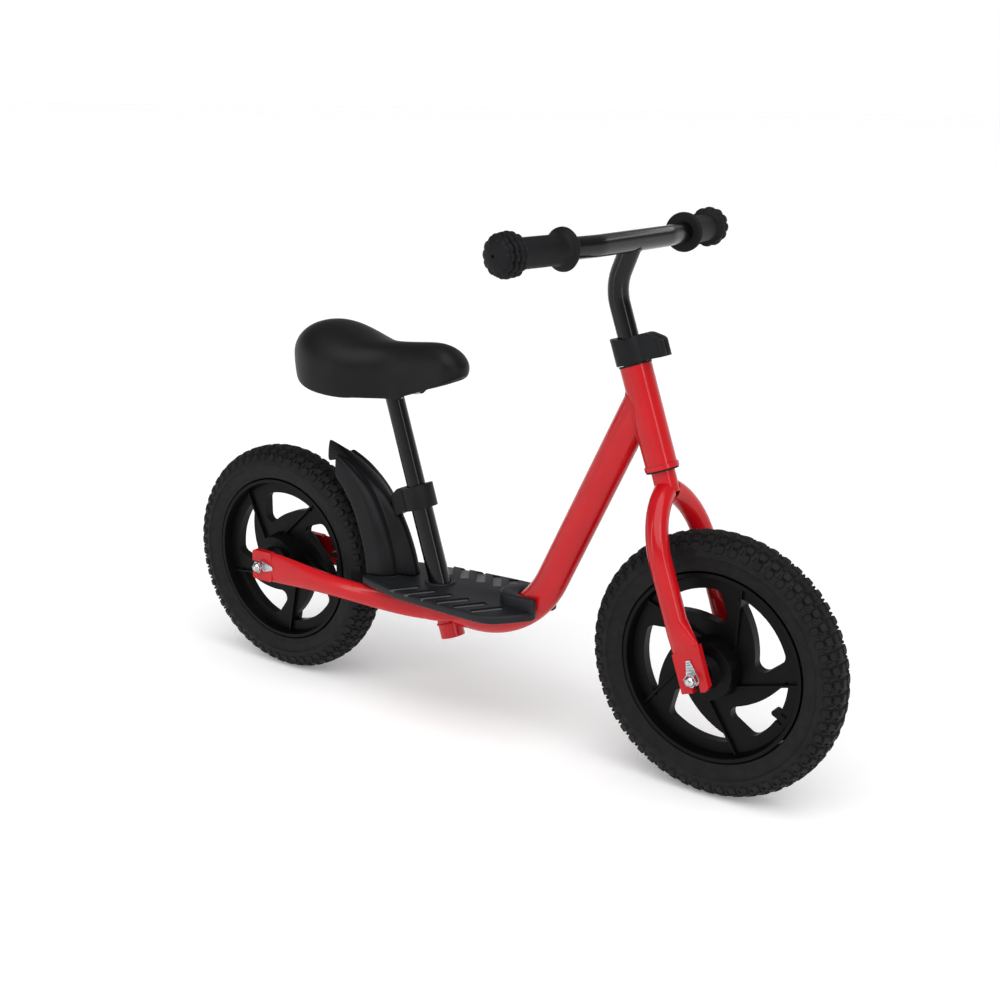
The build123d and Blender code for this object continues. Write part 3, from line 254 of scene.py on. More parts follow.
def run_tree(made, tree, sizes):
    """Runs a geometry tree on an object and keeps the result as plain mesh."""
    modifier = made.modifiers.new(tree.name, "NODES")
    modifier.node_group = tree
    for item in tree.interface.items_tree:
        if item.in_out == "INPUT" and item.name in sizes:
            modifier[item.identifier] = sizes[item.name]
    return bake(made)


# ---------------------------------------------------------------- finishes

def linear(hex_colour):
    """An sRGB hex colour as linear red, green, blue and alpha."""
    parts = [int(hex_colour[i:i + 2], 16) / 255 for i in (1, 3, 5)]
    return [p / 12.92 if p <= 0.04045 else ((p + 0.055) / 1.055) ** 2.4 for p in parts] + [1.0]


def finish(name, ior, metallic, roughness, colour, depth, drift_mm, detail):
    """A material with its shader, whose colour drifts from depth times the colour up to the colour."""
    material = bpy.data.materials.new(name)
    material.use_nodes = True
    tree = material.node_tree
    tree.nodes.clear()
    shader = add(tree, "ShaderNodeBsdfPrincipled",
                 {"IOR": ior, "Metallic": metallic, "Roughness": roughness})
    add(tree, "ShaderNodeOutputMaterial", {"Surface": shader.outputs["BSDF"]})
    place = add(tree, "ShaderNodeTexCoord").outputs["Object"]
    drift = add(tree, "ShaderNodeTexNoise",
                {"Vector": place, "Scale": 1 / (drift_mm * MM), "Detail": detail})
    ramp = add(tree, "ShaderNodeValToRGB", {"Fac": drift.outputs["Fac"]})
    dark, light = ramp.color_ramp.elements
    dark.position, light.position = 0.35, 0.65
    dark.color = [part * depth for part in colour[:3]] + [1.0]
    light.color = [*colour[:3], 1.0]
    tree.links.new(ramp.outputs["Color"], shader.inputs["Base Color"])
    return material, tree, shader, place, drift.outputs["Fac"]


def relief(tree, shader, height, strength, depth_mm, edge_mm=0.0):
    """Raises a surface by a pattern, over edges that are rounded too finely to model."""
    bump = add(tree, "ShaderNodeBump",
               {"Height": height, "Strength": strength, "Distance": depth_mm * MM})
    if edge_mm:
        edge = add(tree, "ShaderNodeBevel", {"Radius": edge_mm * MM}, samples=4)
        tree.links.new(edge.outputs["Normal"], bump.inputs["Normal"])
    tree.links.new(bump.outputs["Normal"], shader.inputs["Normal"])
    return bump.outputs["Normal"]


def gloss_enamel(name, colour, depth, coat, shine):
    """Stoved enamel on steel tube: a wet gloss with a very slight orange peel, 4 mm across."""
    material, tree, shader, place, _ = finish(name, 1.5, 0.0, 0.2, colour, depth, 40, 2.0)
    shader.inputs["Coat Weight"].default_value = coat
    shader.inputs["Specular IOR Level"].default_value = shine
    shader.inputs["Coat Roughness"].default_value = 0.05
    shader.inputs["Coat IOR"].default_value = 1.5
    peel = add(tree, "ShaderNodeTexNoise", {"Vector": place, "Scale": 1 / (4 * MM), "Detail": 2.0})
    normal = relief(tree, shader, peel.outputs["Fac"], 0.03, 0.3, 0.6)
    tree.links.new(normal, shader.inputs["Coat Normal"])
    return material


def foam_tyre(colour):
    """Closed-cell EVA foam: matte, faintly mottled, with a moulded skin of 0.8 mm pores."""
    material, tree, shader, place, _ = finish("eva_foam_skin", 1.48, 0.0, 0.62, colour, 0.45, 9, 5.0)
    shader.inputs["Specular IOR Level"].default_value = 0.22
    pores = add(tree, "ShaderNodeTexVoronoi", {"Vector": place, "Scale": 1 / (0.8 * MM)})
    relief(tree, shader, pores.outputs["Distance"], 0.25, 0.12)
    return material


def moulded(name, colour, depth, roughness, grain_mm, depth_mm, shine=0.35):
    """Injection-moulded plastic with a spark-eroded grain and a slow drift in colour."""
    material, tree, shader, place, _ = finish(name, 1.49, 0.0, roughness, colour, depth, 25, 3.0)
    shader.inputs["Specular IOR Level"].default_value = shine
    grain = add(tree, "ShaderNodeTexNoise",
                {"Vector": place, "Scale": 1 / (grain_mm * MM), "Detail": 3.0, "Roughness": 0.6})
    spread = add(tree, "ShaderNodeMapRange", {
        "Value": grain.outputs["Fac"], "To Min": roughness - 0.07, "To Max": roughness + 0.07,
    })
    tree.links.new(spread.outputs["Result"], shader.inputs["Roughness"])
    relief(tree, shader, grain.outputs["Fac"], 0.35, depth_mm, 0.5)
    return material


def coated_skin(colour):
    """Polyurethane skin moulded over foam: soft matte black with 1.2 mm leather pores."""
    material, tree, shader, place, _ = finish("polyurethane_skin", 1.47, 0.0, 0.46, colour, 0.58, 30, 3.0)
    shader.inputs["Specular IOR Level"].default_value = 0.22
    pores = add(tree, "ShaderNodeTexVoronoi", {"Vector": place, "Scale": 1 / (1.2 * MM)},
                feature="SMOOTH_F1")
    creases = add(tree, "ShaderNodeTexNoise", {"Vector": place, "Scale": 1 / (3 * MM), "Detail": 4.0})
    both = add(tree, "ShaderNodeMath", {0: pores.outputs["Distance"], 1: creases.outputs["Fac"]})
    relief(tree, shader, both.outputs["Value"], 0.22, 0.15)
    return material


def bright_zinc():
    """Bright zinc plate on pressed or turned steel: mirror-like, with fine rolling marks."""
    material, tree, shader, _, cloud = finish("bright_zinc_plate", 1.5, 1.0, 0.16, linear("#cfcfd2"),
                                              0.64, 3, 3.0)
    relief(tree, shader, cloud, 0.12, 0.1, 0.3)
    return material


def ground_steel():
    """Hardened bearing steel, ground and oiled: a dull grey with marks 1 mm apart."""
    return finish("ground_bearing_steel", 1.5, 1.0, 0.28, linear("#a9abae"), 0.69, 1, 2.0)[0]


def pale_floor():
    """A plain pale studio sheet, faintly uneven over half a metre."""
    material, _, shader, _, _ = finish("studio_sheet", 1.45, 0.0, 0.9, linear("#f9f9f9"), 0.98, 500, 1.0)
    # the sheet is lit from below as well, so it stays pale under the bike
    shader.inputs["Emission Color"].default_value = linear("#ffffff")
    shader.inputs["Emission Strength"].default_value = 0.16
    return material


def make_finishes(colours):
    """Every finish on the bike, by the short name that the pieces ask for."""
    return {
        "red": gloss_enamel("gloss_red_enamel", colours.frame, 0.9, 0.12, 0.28),
        "black": gloss_enamel("gloss_black_enamel", colours.tubes, 0.35, 0.12, 0.24),
        "foam": foam_tyre(colours.tyres),
        "rim": moulded("rim_polypropylene", colours.rims, 0.5, 0.44, 0.6, 0.05, 0.13),
        "deck": moulded("footrest_polypropylene", colours.footrest, 0.64, 0.48, 0.9, 0.12, 0.25),
        # pocket floors: their pale grey is a painted reflection of the bright backdrop, which they catch
        # at a grazing angle; their smoother finish is real
        "pocket": moulded("pocket_floor_painted_reflection", colours.pockets, 0.76, 0.36, 0.6, 0.04),
        "guard": moulded("guard_polypropylene", colours.mudguard, 0.6, 0.42, 0.6, 0.05, 0.2),
        "nylon": moulded("clamp_nylon", colours.clamps, 0.6, 0.48, 0.5, 0.05, 0.18),
        "grip": moulded("grip_rubber", colours.grips, 0.6, 0.6, 0.5, 0.06, 0.18),
        "skin": coated_skin(colours.saddle),
        "zinc": bright_zinc(),
        "steel": ground_steel(),
    }


# filled in by the first operator, from the colours in the sidebar's settings
FINISHES = {}

NODE_FINISHES = {
    "red": ("head_tube", "down_tube", "left_stay", "right_stay", "seat_sleeve", "deck_bracket",
            "left_fork_leg", "right_fork_leg", "steerer"),
    "black": ("seat_tube", "seat_post", "stem", "handlebar_tube", "saddle_plate"),
    "rim": ("front_rim", "rear_rim"),
    "nylon": ("upper_headset_bush", "lower_headset_bush", "saddle_base"),
    "zinc": ("front_axle", "rear_axle", "front_cone_nuts", "rear_cone_nuts", "front_dome_nuts",
             "rear_dome_nuts", "front_tab_washers", "rear_tab_washers", "seat_clamp_bolt",
             "handlebar_clamp_bolt", "seat_clamp_nut", "handlebar_clamp_nut"),
    "steel": ("front_bearings", "rear_bearings"),
}


# ---------------------------------------------------------------- sizes a user would change

def colour_setting(name, description, hex_colour):
    """A colour in the sidebar's settings, with its default as an sRGB hex value."""
    return FloatVectorProperty(name=name, description=description, subtype="COLOR", size=3,
                               min=0, max=1, default=linear(hex_colour)[:3])


class BikeColours(bpy.types.PropertyGroup):
    frame: colour_setting("Frame", "Enamel of the frame and fork", "#ba0e17")
    tubes: colour_setting("Tubes", "Enamel of the bar, stem, seat post and seat tube", "#030304")
    tyres: colour_setting("Tyres", "Foam of the tyres", "#121214")
    rims: colour_setting("Rims", "Plastic of the wheels", "#060607")
    footrest: colour_setting("Footrest", "Plastic of the footrest", "#1b1c1f")
    # the pale grey of the pocket floors is a painted reflection of the bright backdrop
    pockets: colour_setting("Pockets", "Floors of the footrest's pockets", "#626366")
    mudguard: colour_setting("Mudguard", "Plastic of the mudguard", "#0d0e11")
    clamps: colour_setting("Clamps", "Nylon of the height clamps and bushes", "#111214")
    grips: colour_setting("Grips", "Rubber of the grips", "#111114")
    saddle: colour_setting("Saddle", "Skin of the saddle", "#0c0c0d")


class TyreSizes(bpy.types.PropertyGroup):
    pitches: IntProperty(name="Tread pitches", description="Tread bars round the tyre", default=58)
    block_height: FloatProperty(
        name="Block height", description="Height of the tread blocks, in mm", default=2.5)
    ridge: FloatProperty(
        name="Side ridge", description="How far the ring on the sidewall stands out, in mm", default=0.8)


class SaddleSizes(bpy.types.PropertyGroup):
    sections: IntProperty(name="Sections", description="Cross-sections from tail to nose", default=56)
    fill: FloatProperty(name="Fill", description="How full the padding is", default=0.95, min=0, max=1)
    swell: FloatProperty(
        name="Swell height", description="Height of the widest line, as a share of the section",
        default=0.44, min=0.1, max=0.9)


class GripSizes(bpy.types.PropertyGroup):
    lobes: IntProperty(name="Lobes", description="Scallops round each disc of the knob", default=12)
    lobe_depth: FloatProperty(name="Lobe depth", description="Depth of a scallop, in mm", default=2.0)


class GuardSizes(bpy.types.PropertyGroup):
    foot_depth: FloatProperty(name="Foot depth", description="Depth at the footrest, in mm", default=54)
    tip_depth: FloatProperty(name="Tip depth", description="Depth at the tip, in mm", default=28)
    wall: FloatProperty(name="Wall", description="Wall thickness, in mm", default=2.6)


class FootrestSizes(bpy.types.PropertyGroup):
    pocket_depth: FloatProperty(
        name="Pocket depth", description="Depth of the pockets, in mm", default=2.6)
    pocket_width: FloatProperty(
        name="Pocket width", description="Width of a pocket, in mm", default=10.5)
    pocket_pitch: FloatProperty(name="Pocket pitch", description="Pocket spacing, in mm", default=24)
    edge: FloatProperty(name="Edge", description="Rounding of the top edge, in mm", default=3)


class StageSizes(bpy.types.PropertyGroup):
    azimuth: FloatProperty(name="Azimuth", description="Camera's turn", default=radians(35.02),
                           subtype="ANGLE")
    elevation: FloatProperty(name="Elevation", description="Camera's height angle",
                             default=radians(15.64), subtype="ANGLE")
    roll: FloatProperty(name="Roll", description="Camera's roll", default=radians(0.794), subtype="ANGLE")
    distance: FloatProperty(name="Distance", description="Camera to aim point", default=1.6617,
                            unit="LENGTH")
    lens: FloatProperty(name="Lens", description="Focal length in mm on a 36 mm sensor", default=52.68)
    aim: FloatVectorProperty(name="Aim", description="Aim point from the middle of the bike",
                             default=(0.0197, 0.0048, -0.0258), subtype="TRANSLATION")


class BikeSettings(bpy.types.PropertyGroup):
    colours: PointerProperty(type=BikeColours)
    tyre: PointerProperty(type=TyreSizes)
    saddle: PointerProperty(type=SaddleSizes)
    grip: PointerProperty(type=GripSizes)
    guard: PointerProperty(type=GuardSizes)
    footrest: PointerProperty(type=FootrestSizes)
    stage: PointerProperty(type=StageSizes)


# ---------------------------------------------------------------- tyres

def tyre_profile(outer, width, seat, block, ridge):
    """The foam tyre's section, from one bead over the crown to the other, as (radius, height)."""
    half = width / 2
    crown = outer - block
    side = [
        (crown, 0.0), (crown - 0.5, half * 0.27), (crown - 2.2, half * 0.5), (crown - 5.4, half * 0.7),
        (crown - 9.6, half * 0.85), (crown - 14.5, half * 0.93), (crown - 18.4, half * 0.96),
        (crown - 19.2, half * 0.96 + ridge), (crown - 20.8, half * 0.96 + ridge),
        (crown - 21.6, half * 0.93), (crown - 22.8, half * 0.9), (crown - 29.0, half * 0.86),
        (crown - 33.0, half * 0.82), (crown - 33.6, half * 0.79), (crown - 35.2, half * 0.78),
        (seat, half * 0.755),
    ]
    return side + [(r, -h) for r, h in reversed(side[1:])]


def tread_tree(pitches, material, rows):
    """Geometry nodes: one pitch of tread blocks, repeated round the wheel's axis."""
    tree, inputs, output = geometry_tree("tread_blocks", Pitches=pitches)
    blocks = add(tree, "GeometryNodeJoinGeometry")
    for size, place, turn in rows:
        cube = add(tree, "GeometryNodeMeshCube", {
            "Size": (1.0, 1.0, 1.0), "Vertices X": 3, "Vertices Y": 4, "Vertices Z": 4,
        })
        spot = add(tree, "GeometryNodeInputPosition")
        parts = add(tree, "ShaderNodeSeparateXYZ", {0: spot.outputs[0]})
        # the block narrows by a quarter from its root to its face, and its corners are cut back
        lift = add(tree, "ShaderNodeMath", {0: parts.outputs["X"], 1: -0.3, 2: 0.85},
                   operation="MULTIPLY_ADD")
        across = add(tree, "ShaderNodeMath", {0: parts.outputs["Y"], 1: parts.outputs["Z"]},
                     operation="MULTIPLY")
        corner = add(tree, "ShaderNodeMath", {0: across.outputs[0], 1: across.outputs[0]},
                     operation="MULTIPLY")
        cut = add(tree, "ShaderNodeMath", {0: corner.outputs[0], 1: -2.6, 2: 1.0},
                  operation="MULTIPLY_ADD")
        scale = add(tree, "ShaderNodeMath", {0: lift.outputs[0], 1: cut.outputs[0]},
                    operation="MULTIPLY")
        y = add(tree, "ShaderNodeMath", {0: parts.outputs["Y"], 1: scale.outputs[0]},
                operation="MULTIPLY")
        z = add(tree, "ShaderNodeMath", {0: parts.outputs["Z"], 1: scale.outputs[0]},
                operation="MULTIPLY")
        shaped = add(tree, "ShaderNodeCombineXYZ", {
            "X": parts.outputs["X"], "Y": y.outputs[0], "Z": z.outputs[0],
        })
        block = add(tree, "GeometryNodeSetPosition", {
            "Geometry": cube.outputs["Mesh"], "Position": shaped.outputs[0],
        })
        moved = add(tree, "GeometryNodeTransform", {
            "Geometry": block.outputs[0], "Scale": size, "Translation": place, "Rotation": turn,
        })
        tree.links.new(moved.outputs[0], blocks.inputs[0])
    centres = add(tree, "GeometryNodePoints", {"Count": inputs.outputs["Pitches"]})
    index = add(tree, "GeometryNodeInputIndex")
    step = add(tree, "ShaderNodeMath", {0: tau, 1: inputs.outputs["Pitches"]}, operation="DIVIDE")
    angle = add(tree, "ShaderNodeMath", {0: index.outputs[0], 1: step.outputs[0]}, operation="MULTIPLY")
    turn = add(tree, "ShaderNodeCombineXYZ", {"Z": angle.outputs[0]})
    ring = add(tree, "GeometryNodeInstanceOnPoints", {
        "Points": centres.outputs[0], "Instance": blocks.outputs[0], "Rotation": turn.outputs[0],
    })
    real = add(tree, "GeometryNodeRealizeInstances", {0: ring.outputs[0]})
    whole = add(tree, "GeometryNodeJoinGeometry")
    tree.links.new(inputs.outputs["Geometry"], whole.inputs[0])
    tree.links.new(real.outputs[0], whole.inputs[0])
    painted = add(tree, "GeometryNodeSetMaterial", {"Geometry": whole.outputs[0], "Material": material})
    tree.links.new(painted.outputs[0], output.inputs[0])
    return tree


def tread_rows(outer, width, height, pitches):
    """Each row's size, place and turn: crown chevrons, small studs between, and shoulder blocks."""
    half = width / 2
    sunk = 1.2
    rows = []

    def row(radius, side, length, across, tall, tilt, yaw, phase):
        """One row's size in metres, the place of its first block, and its turn in radians."""
        angle = phase * tau / pitches
        size = (tall + sunk, length, across)
        place = (radius * cos(angle), radius * sin(angle), side)
        rows.append((
            tuple(s * MM for s in size),
            tuple(p * MM for p in place),
            (radians(yaw), radians(-tilt), angle),
        ))

    for side in (1, -1):
        crown_r = outer - (height + sunk) / 2
        row(crown_r - 0.5, side * half * 0.2, 11.6, 8.6, height, side * 5, side * 13, 0)
        row(crown_r - 3.9, side * half * 0.6, 10.8, 9.6, height, side * 34, side * -6, 0)
        row(crown_r - 11.2, side * half * 0.87, 9.6, 10.6, height * 0.8, side * 66, 0, 0)
        row(crown_r - 1.6, side * half * 0.4, 3.4, 5.4, height * 0.6, side * 18, 0, 0.5)
        row(crown_r - 7.4, side * half * 0.77, 3.2, 6.0, height * 0.5, side * 52, 0, 0.5)
    return rows


class BIKE_OT_tyres(bpy.types.Operator):
    """Foam tyres: a smooth carcass and a ring of tread blocks"""
    bl_idname = "bike.tyres"
    bl_label = "Tyres"

    def execute(self, context):
        sizes = context.scene.bike.tyre
        for end, axle in AXLES.items():
            node = f"{end}_tyre"
            low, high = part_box(node)
            outer = (high.z - low.z) / 2 / MM
            width = (high.y - low.y) / MM
            seat = (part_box(f"{end}_rim")[1].z - axle.z) / MM
            profile = tyre_profile(outer, width, seat, sizes.block_height, sizes.ridge)
            made = turned(f"{end}_foam_tyre", profile + profile[:1], Matrix.Scale(MM, 4),
                          [FINISHES["foam"]])
            smoothed(made)
            rows = tread_rows(outer, width, sizes.block_height, sizes.pitches)
            run_tree(made, tread_tree(sizes.pitches, FINISHES["foam"], rows), {"Pitches": sizes.pitches})
            place = local(axle, LEFT, FORWARD)
            made.data.transform(place @ Matrix.Scale(1 / MM, 4))
            shade(made.data, 32)
            place_on(made, f"{end}_wheel", "eva_foam", node)
        return {"FINISHED"}


# ---------------------------------------------------------------- saddle

def surface_of(*nodes):
    """A tree to cast rays at, over the meshes of some CAD nodes."""
    points, faces = [], []
    for node in nodes:
        mesh = frame["nodes"][node].data
        start = len(points)
        points += [v.co.copy() for v in mesh.vertices]
        faces += [tuple(start + n for n in p.vertices) for p in mesh.polygons]
    return BVHTree.FromPolygons(points, faces)


def limits_at(surface, x, z_low, z_high):
    """Top and bottom of a shape on the bike's middle plane at this x."""
    down = surface.ray_cast(Vector((x, 0, z_high + 0.05)), -UP)[0]
    up = surface.ray_cast(Vector((x, 0, z_low - 0.05)), UP)[0]
    return (down.z, up.z) if down and up else None


def half_width_at(surface, x, heights):
    """The widest a shape is at this x, over some heights."""
    hits = [surface.ray_cast(Vector((x, 0.2, z)), -LEFT)[0] for z in heights]
    return max((hit.y for hit in hits if hit), default=0.0)


class BIKE_OT_saddle(bpy.types.Operator):
    """Padded saddle: a full, round tail, a dip and a nose, with the skin turned in under its base"""
    bl_idname = "bike.saddle"
    bl_label = "Saddle"

    def execute(self, context):
        sizes = context.scene.bike.saddle
        cover, base = surface_of("saddle_cover"), surface_of("saddle_base")
        low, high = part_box("saddle_cover")
        quarter = 14
        points = []
        for i in range(sizes.sections):
            share = (1 - cos(pi * (i + 0.5) / sizes.sections)) / 2
            x = low.x + (high.x - low.x) * share
            # the hump sits a little behind the CAD solid's, and the skirt hangs lowest in the middle
            lean = 12 * MM * sin(pi * min(share / 0.75, 1.0))
            lip = (1.2 + 6.3 * sin(pi * share ** 1.05)) * MM
            found = limits_at(cover, x, low.z, high.z)
            if found is None:
                raise RuntimeError(f"no CAD saddle at x = {x:.4f} m")
            top, bottom = found
            top = (limits_at(cover, x + lean, low.z, high.z) or found)[0]
            under = limits_at(base, x, low.z, high.z)
            if under:
                bottom = min(bottom, under[1])
            swell = bottom + (top - bottom) * sizes.swell
            half = max(half_width_at(cover, x, (swell, (swell + bottom) / 2)), 0.0008)
            # the tail is drawn in a little from the CAD solid's sides
            half *= 0.86 + 0.14 * min(1.0, share * 2.2)
            plate = half_width_at(base, x, (under[1] + 0.0015, under[1] + 0.003)) if under else 0.0
            edge = plate + 0.8 * MM if plate else half * 0.4
            half = max(half, edge + 0.2 * MM)
            well = bottom + 0.8 * MM if plate else bottom - lip * 0.5
            side = []
            for q in range(quarter):
                turn = pi / 2 * q / quarter
                side.append((half * sin(turn) ** 0.94 if q else 0.0,
                             swell + (top - swell) * cos(turn) ** 0.94))
            for q in range(quarter + 1):
                turn = pi / 2 * q / quarter
                side.append((edge + (half - edge) * cos(turn),
                             swell - (swell - bottom + lip) * sin(turn)))
            side += [(edge - 1.2 * MM, bottom - lip), (max(edge - 2.2 * MM, edge * 0.6), well),
                     (edge * 0.4, well)]
            points += [(x, y, z) for y, z in side] + [(x, 0, well)]
            points += [(x, -y, z) for y, z in reversed(side[1:])]
            around = 2 * len(side)
        last = (sizes.sections - 1) * around
        tail, nose = len(points), len(points) + 1
        points += [(low.x, 0, sum(p[2] for p in points[:around]) / around),
                   (high.x, 0, sum(p[2] for p in points[last:last + around]) / around)]
        faces = grid_faces(sizes.sections, around)
        faces += [(tail, (j + 1) % around, j) for j in range(around)]
        faces += [(nose, last + j, last + (j + 1) % around) for j in range(around)]
        made = piece("saddle_padding", points, faces, Matrix.Identity(4), [FINISHES["skin"]], 180)
        smoothed(made)
        place_on(made, "saddle", "saddle_skin", "saddle_cover")
        return {"FINISHED"}


# ---------------------------------------------------------------- grips

def grip_profile(bar_r, length):
    """The grip's outline from its inner end outwards: (radius, height, how deep its scallops are)."""
    knob = length - 27
    outline = [
        (bar_r, 0, 0), (18.0, 0.0, 0), (20.4, 0.6, 0), (21.5, 2.4, 0), (21.3, 4.4, 0), (19.2, 6.4, 0),
        (16.6, 8.2, 0), (15.3, 10.8, 0), (14.9, 15.0, 0), (14.9, knob - 6, 0), (15.2, knob - 1.5, 0),
    ]
    start = knob
    for radius, thick in ((21.4, 5.8), (22.2, 5.8), (21.6, 5.4), (19.8, 4.6)):
        outline += [
            (radius - 4.2, start, 0.3), (radius - 0.9, start + 0.5, 0.8), (radius, start + 1.6, 1),
            (radius, start + thick - 2.0, 1), (radius - 0.9, start + thick - 1.0, 0.8),
            (radius - 3.6, start + thick - 0.5, 0.3),
        ]
        start += thick
    outline += [
        (16.8, start, 0.8), (15.4, start + 2.0, 0.7), (12.0, start + 3.6, 0.4), (8.0, start + 4.6, 0.15),
        (4.0, length, 0), (1.7, length, 0), (1.5, length - 0.6, 0), (1.4, length - 5, 0),
        (0.0, length - 5.2, 0),
    ]
    return outline


class BIKE_OT_grips(bpy.types.Operator):
    """Rubber grips: a guard flange, a slim body and a knob of scalloped discs"""
    bl_idname = "bike.grips"
    bl_label = "Grips"

    def execute(self, context):
        sizes = context.scene.bike.grip
        steps = sizes.lobes * 10
        for side, name in ((1, "left"), (-1, "right")):
            node = f"{name}_grip"
            mesh = frame["nodes"][node].data
            # the bar's own direction is the long axis of the grip's mesh, seen from above
            spots = [v.co for v in mesh.vertices]
            centre = sum(spots, Vector()) / len(spots)
            along = sum((p.y - centre.y) ** 2 for p in spots)
            across = sum((p.x - centre.x) ** 2 for p in spots)
            both = sum((p.x - centre.x) * (p.y - centre.y) * side for p in spots)
            sweep = -0.5 * atan2(2 * both, along - across)
            outward = Vector((-sin(sweep), side * cos(sweep), 0))
            start, end = reach(node, outward)
            base = centre + outward * (start - outward.dot(centre))
            length = (end - start) / MM
            points = []
            for r, h, lobe in grip_profile(11.2, length):
                for j in range(steps):
                    angle = tau * j / steps
                    dip = sizes.lobe_depth * lobe * (1 - abs(cos(angle * sizes.lobes / 2)) ** 0.6)
                    points.append(((r - dip) * cos(angle), (r - dip) * sin(angle), h))
            rows = len(points) // steps
            made = piece(f"{name}_rubber_grip", points, grid_faces(rows, steps),
                         local(base, outward, UP), [FINISHES["grip"]], 48)
            place_on(made, "handlebar", "grip_rubber", node)
        return {"FINISHED"}


# ---------------------------------------------------------------- mudguard

def guard_section(t, foot_rise, tip_rise, half_width):
    """Half of the arch at a share t of its way up, from spine to edge: (across, above the edge)."""
    droop = 7 * (max(0.0, t - 0.6) / 0.4) ** 2
    spine = foot_rise + (tip_rise - foot_rise) * t - droop + 4 * max(0.0, 1 - t / 0.4)
    spine -= 7 * sin(pi * min(max((t - 0.35) / 0.65, 0.0), 1.0))
    crease = min(36 - 11 * t - droop, spine - 3)
    shoulder = min(24 - 3 * t - droop / 2, crease - 3)
    return [
        (0.0, spine), (half_width * 0.14, spine - 0.5),
        (half_width * 0.27, spine - (spine - crease) * 0.3),
        (half_width * 0.37, crease + (spine - crease) * 0.25), (half_width * 0.42, crease),
        (half_width * 0.52, crease - 0.6), (half_width * 0.72, (crease + shoulder) / 2 + 2.2),
        (half_width * 0.88, shoulder + 2.0), (half_width * 0.96, shoulder - 2.5),
        (half_width * 0.99, shoulder * 0.45), (half_width, 0.0),
    ]


class BIKE_OT_mudguard(bpy.types.Operator):
    """Rear mudguard: a thin moulded arch with a raised spine, a notched tip and a flared foot"""
    bl_idname = "bike.mudguard"
    bl_label = "Mudguard"

    def execute(self, context):
        sizes = context.scene.bike.guard
        low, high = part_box("mudguard")
        deck_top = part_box("footrest")[1].z - COLLAR_HEIGHT * MM
        axle = AXLES["rear"]
        half_width = (high.y - low.y) / 2 / MM
        edge_r = self.edge_radius(axle)
        # how far up each strand of the arch runs: a tall spine, a notch beside it, a lobe, a low edge
        ends = [66.4, 66.1, 65.0, 63.4, 61.4, 57.8, 57.6, 57.4, 56.8, 54.8, 52.4]
        # past the lobe, the strands beside the spine fall away and make the tip a pointed hood
        falls = [0.0, 3.0, 10.0, 24.0, 62.0]
        foot = 4.5
        steps = 26
        points = []
        for i in range(steps + 1):
            row = []
            for k, end in enumerate(ends):
                angle = foot + (end - foot) * i / steps
                t = (angle - foot) / (ends[0] - foot)
                edge = edge_r - 6 * max(0.0, 1 - 2 * t)
                narrow = half_width * (1 - 0.5 * max(0.0, (t - 0.3) / 0.7) ** 1.3)
                y, rise = guard_section(t, sizes.foot_depth, sizes.tip_depth, narrow)[k]
                past = min(max((angle - 55) / 10, 0.0), 1.0)
                r = edge + rise - (falls[k] * past ** 2 if k < len(falls) else 0.0)
                x = r * cos(radians(angle))
                z = max(r * sin(radians(angle)), (deck_top - axle.z) / MM)
                row.append((x, y, z))
            points += [(x, -y, z) for x, y, z in reversed(row[1:])] + row
        columns = 2 * len(ends) - 1
        faces = grid_faces(steps + 1, columns, close_columns=False)
        place = Matrix.Translation(axle) @ Matrix.Scale(MM, 4)
        made = piece("rear_mudguard", points, faces, place, [FINISHES["guard"]], 60)
        self.point_outwards(made, axle)
        wall = made.modifiers.new("wall", "SOLIDIFY")
        wall.thickness = sizes.wall * MM
        wall.offset = -1
        wall.use_even_offset = True
        surface = made.modifiers.new("smooth", "SUBSURF")
        surface.levels = surface.render_levels = 2
        bake(made)
        shade(made.data, 60)
        place_on(made, "frame", "deck_plastic", "mudguard")
        return {"FINISHED"}

    @staticmethod
    def edge_radius(axle):
        """How far from the axle the guard's edge runs, clear of the tyre."""
        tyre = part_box("rear_tyre")
        return (tyre[1].z - axle.z) / MM + GUARD_CLEARANCE

    @staticmethod
    def point_outwards(made, axle):
        """An open sheet's faces are turned to look away from the axle."""
        mesh = made.data
        total = sum((p.center - axle).dot(p.normal) * p.area for p in mesh.polygons)
        if total < 0:
            mesh.flip_normals()


# ---------------------------------------------------------------- footrest

def arc(cx, cy, r, start, end, steps):
    """Points of an arc from one angle to another, in degrees."""
    return [
        (cx + r * cos(radians(start + (end - start) * i / steps)),
         cy + r * sin(radians(start + (end - start) * i / steps)))
        for i in range(steps + 1)
    ]


def slab(name, outline, bottom, top, materials, place):
    """A flat solid over a plan outline."""
    n = len(outline)
    points = [(x, y, bottom) for x, y in outline] + [(x, y, top) for x, y in outline]
    faces = [tuple(reversed(range(n))), tuple(range(n, 2 * n))]
    faces += [(i, (i + 1) % n, n + (i + 1) % n, n + i) for i in range(n)]
    return piece(name, points, faces, place, materials, 30)


def cut_away(made, tool):
    """Takes the tool's shape out of a solid; the cut faces keep the tool's finish."""
    cut = made.modifiers.new("cut", "BOOLEAN")
    cut.operation = "DIFFERENCE"
    cut.solver = "EXACT"
    cut.object = tool
    cut.material_mode = "TRANSFER"
    bake(made)
    bpy.data.objects.remove(tool)
    return made


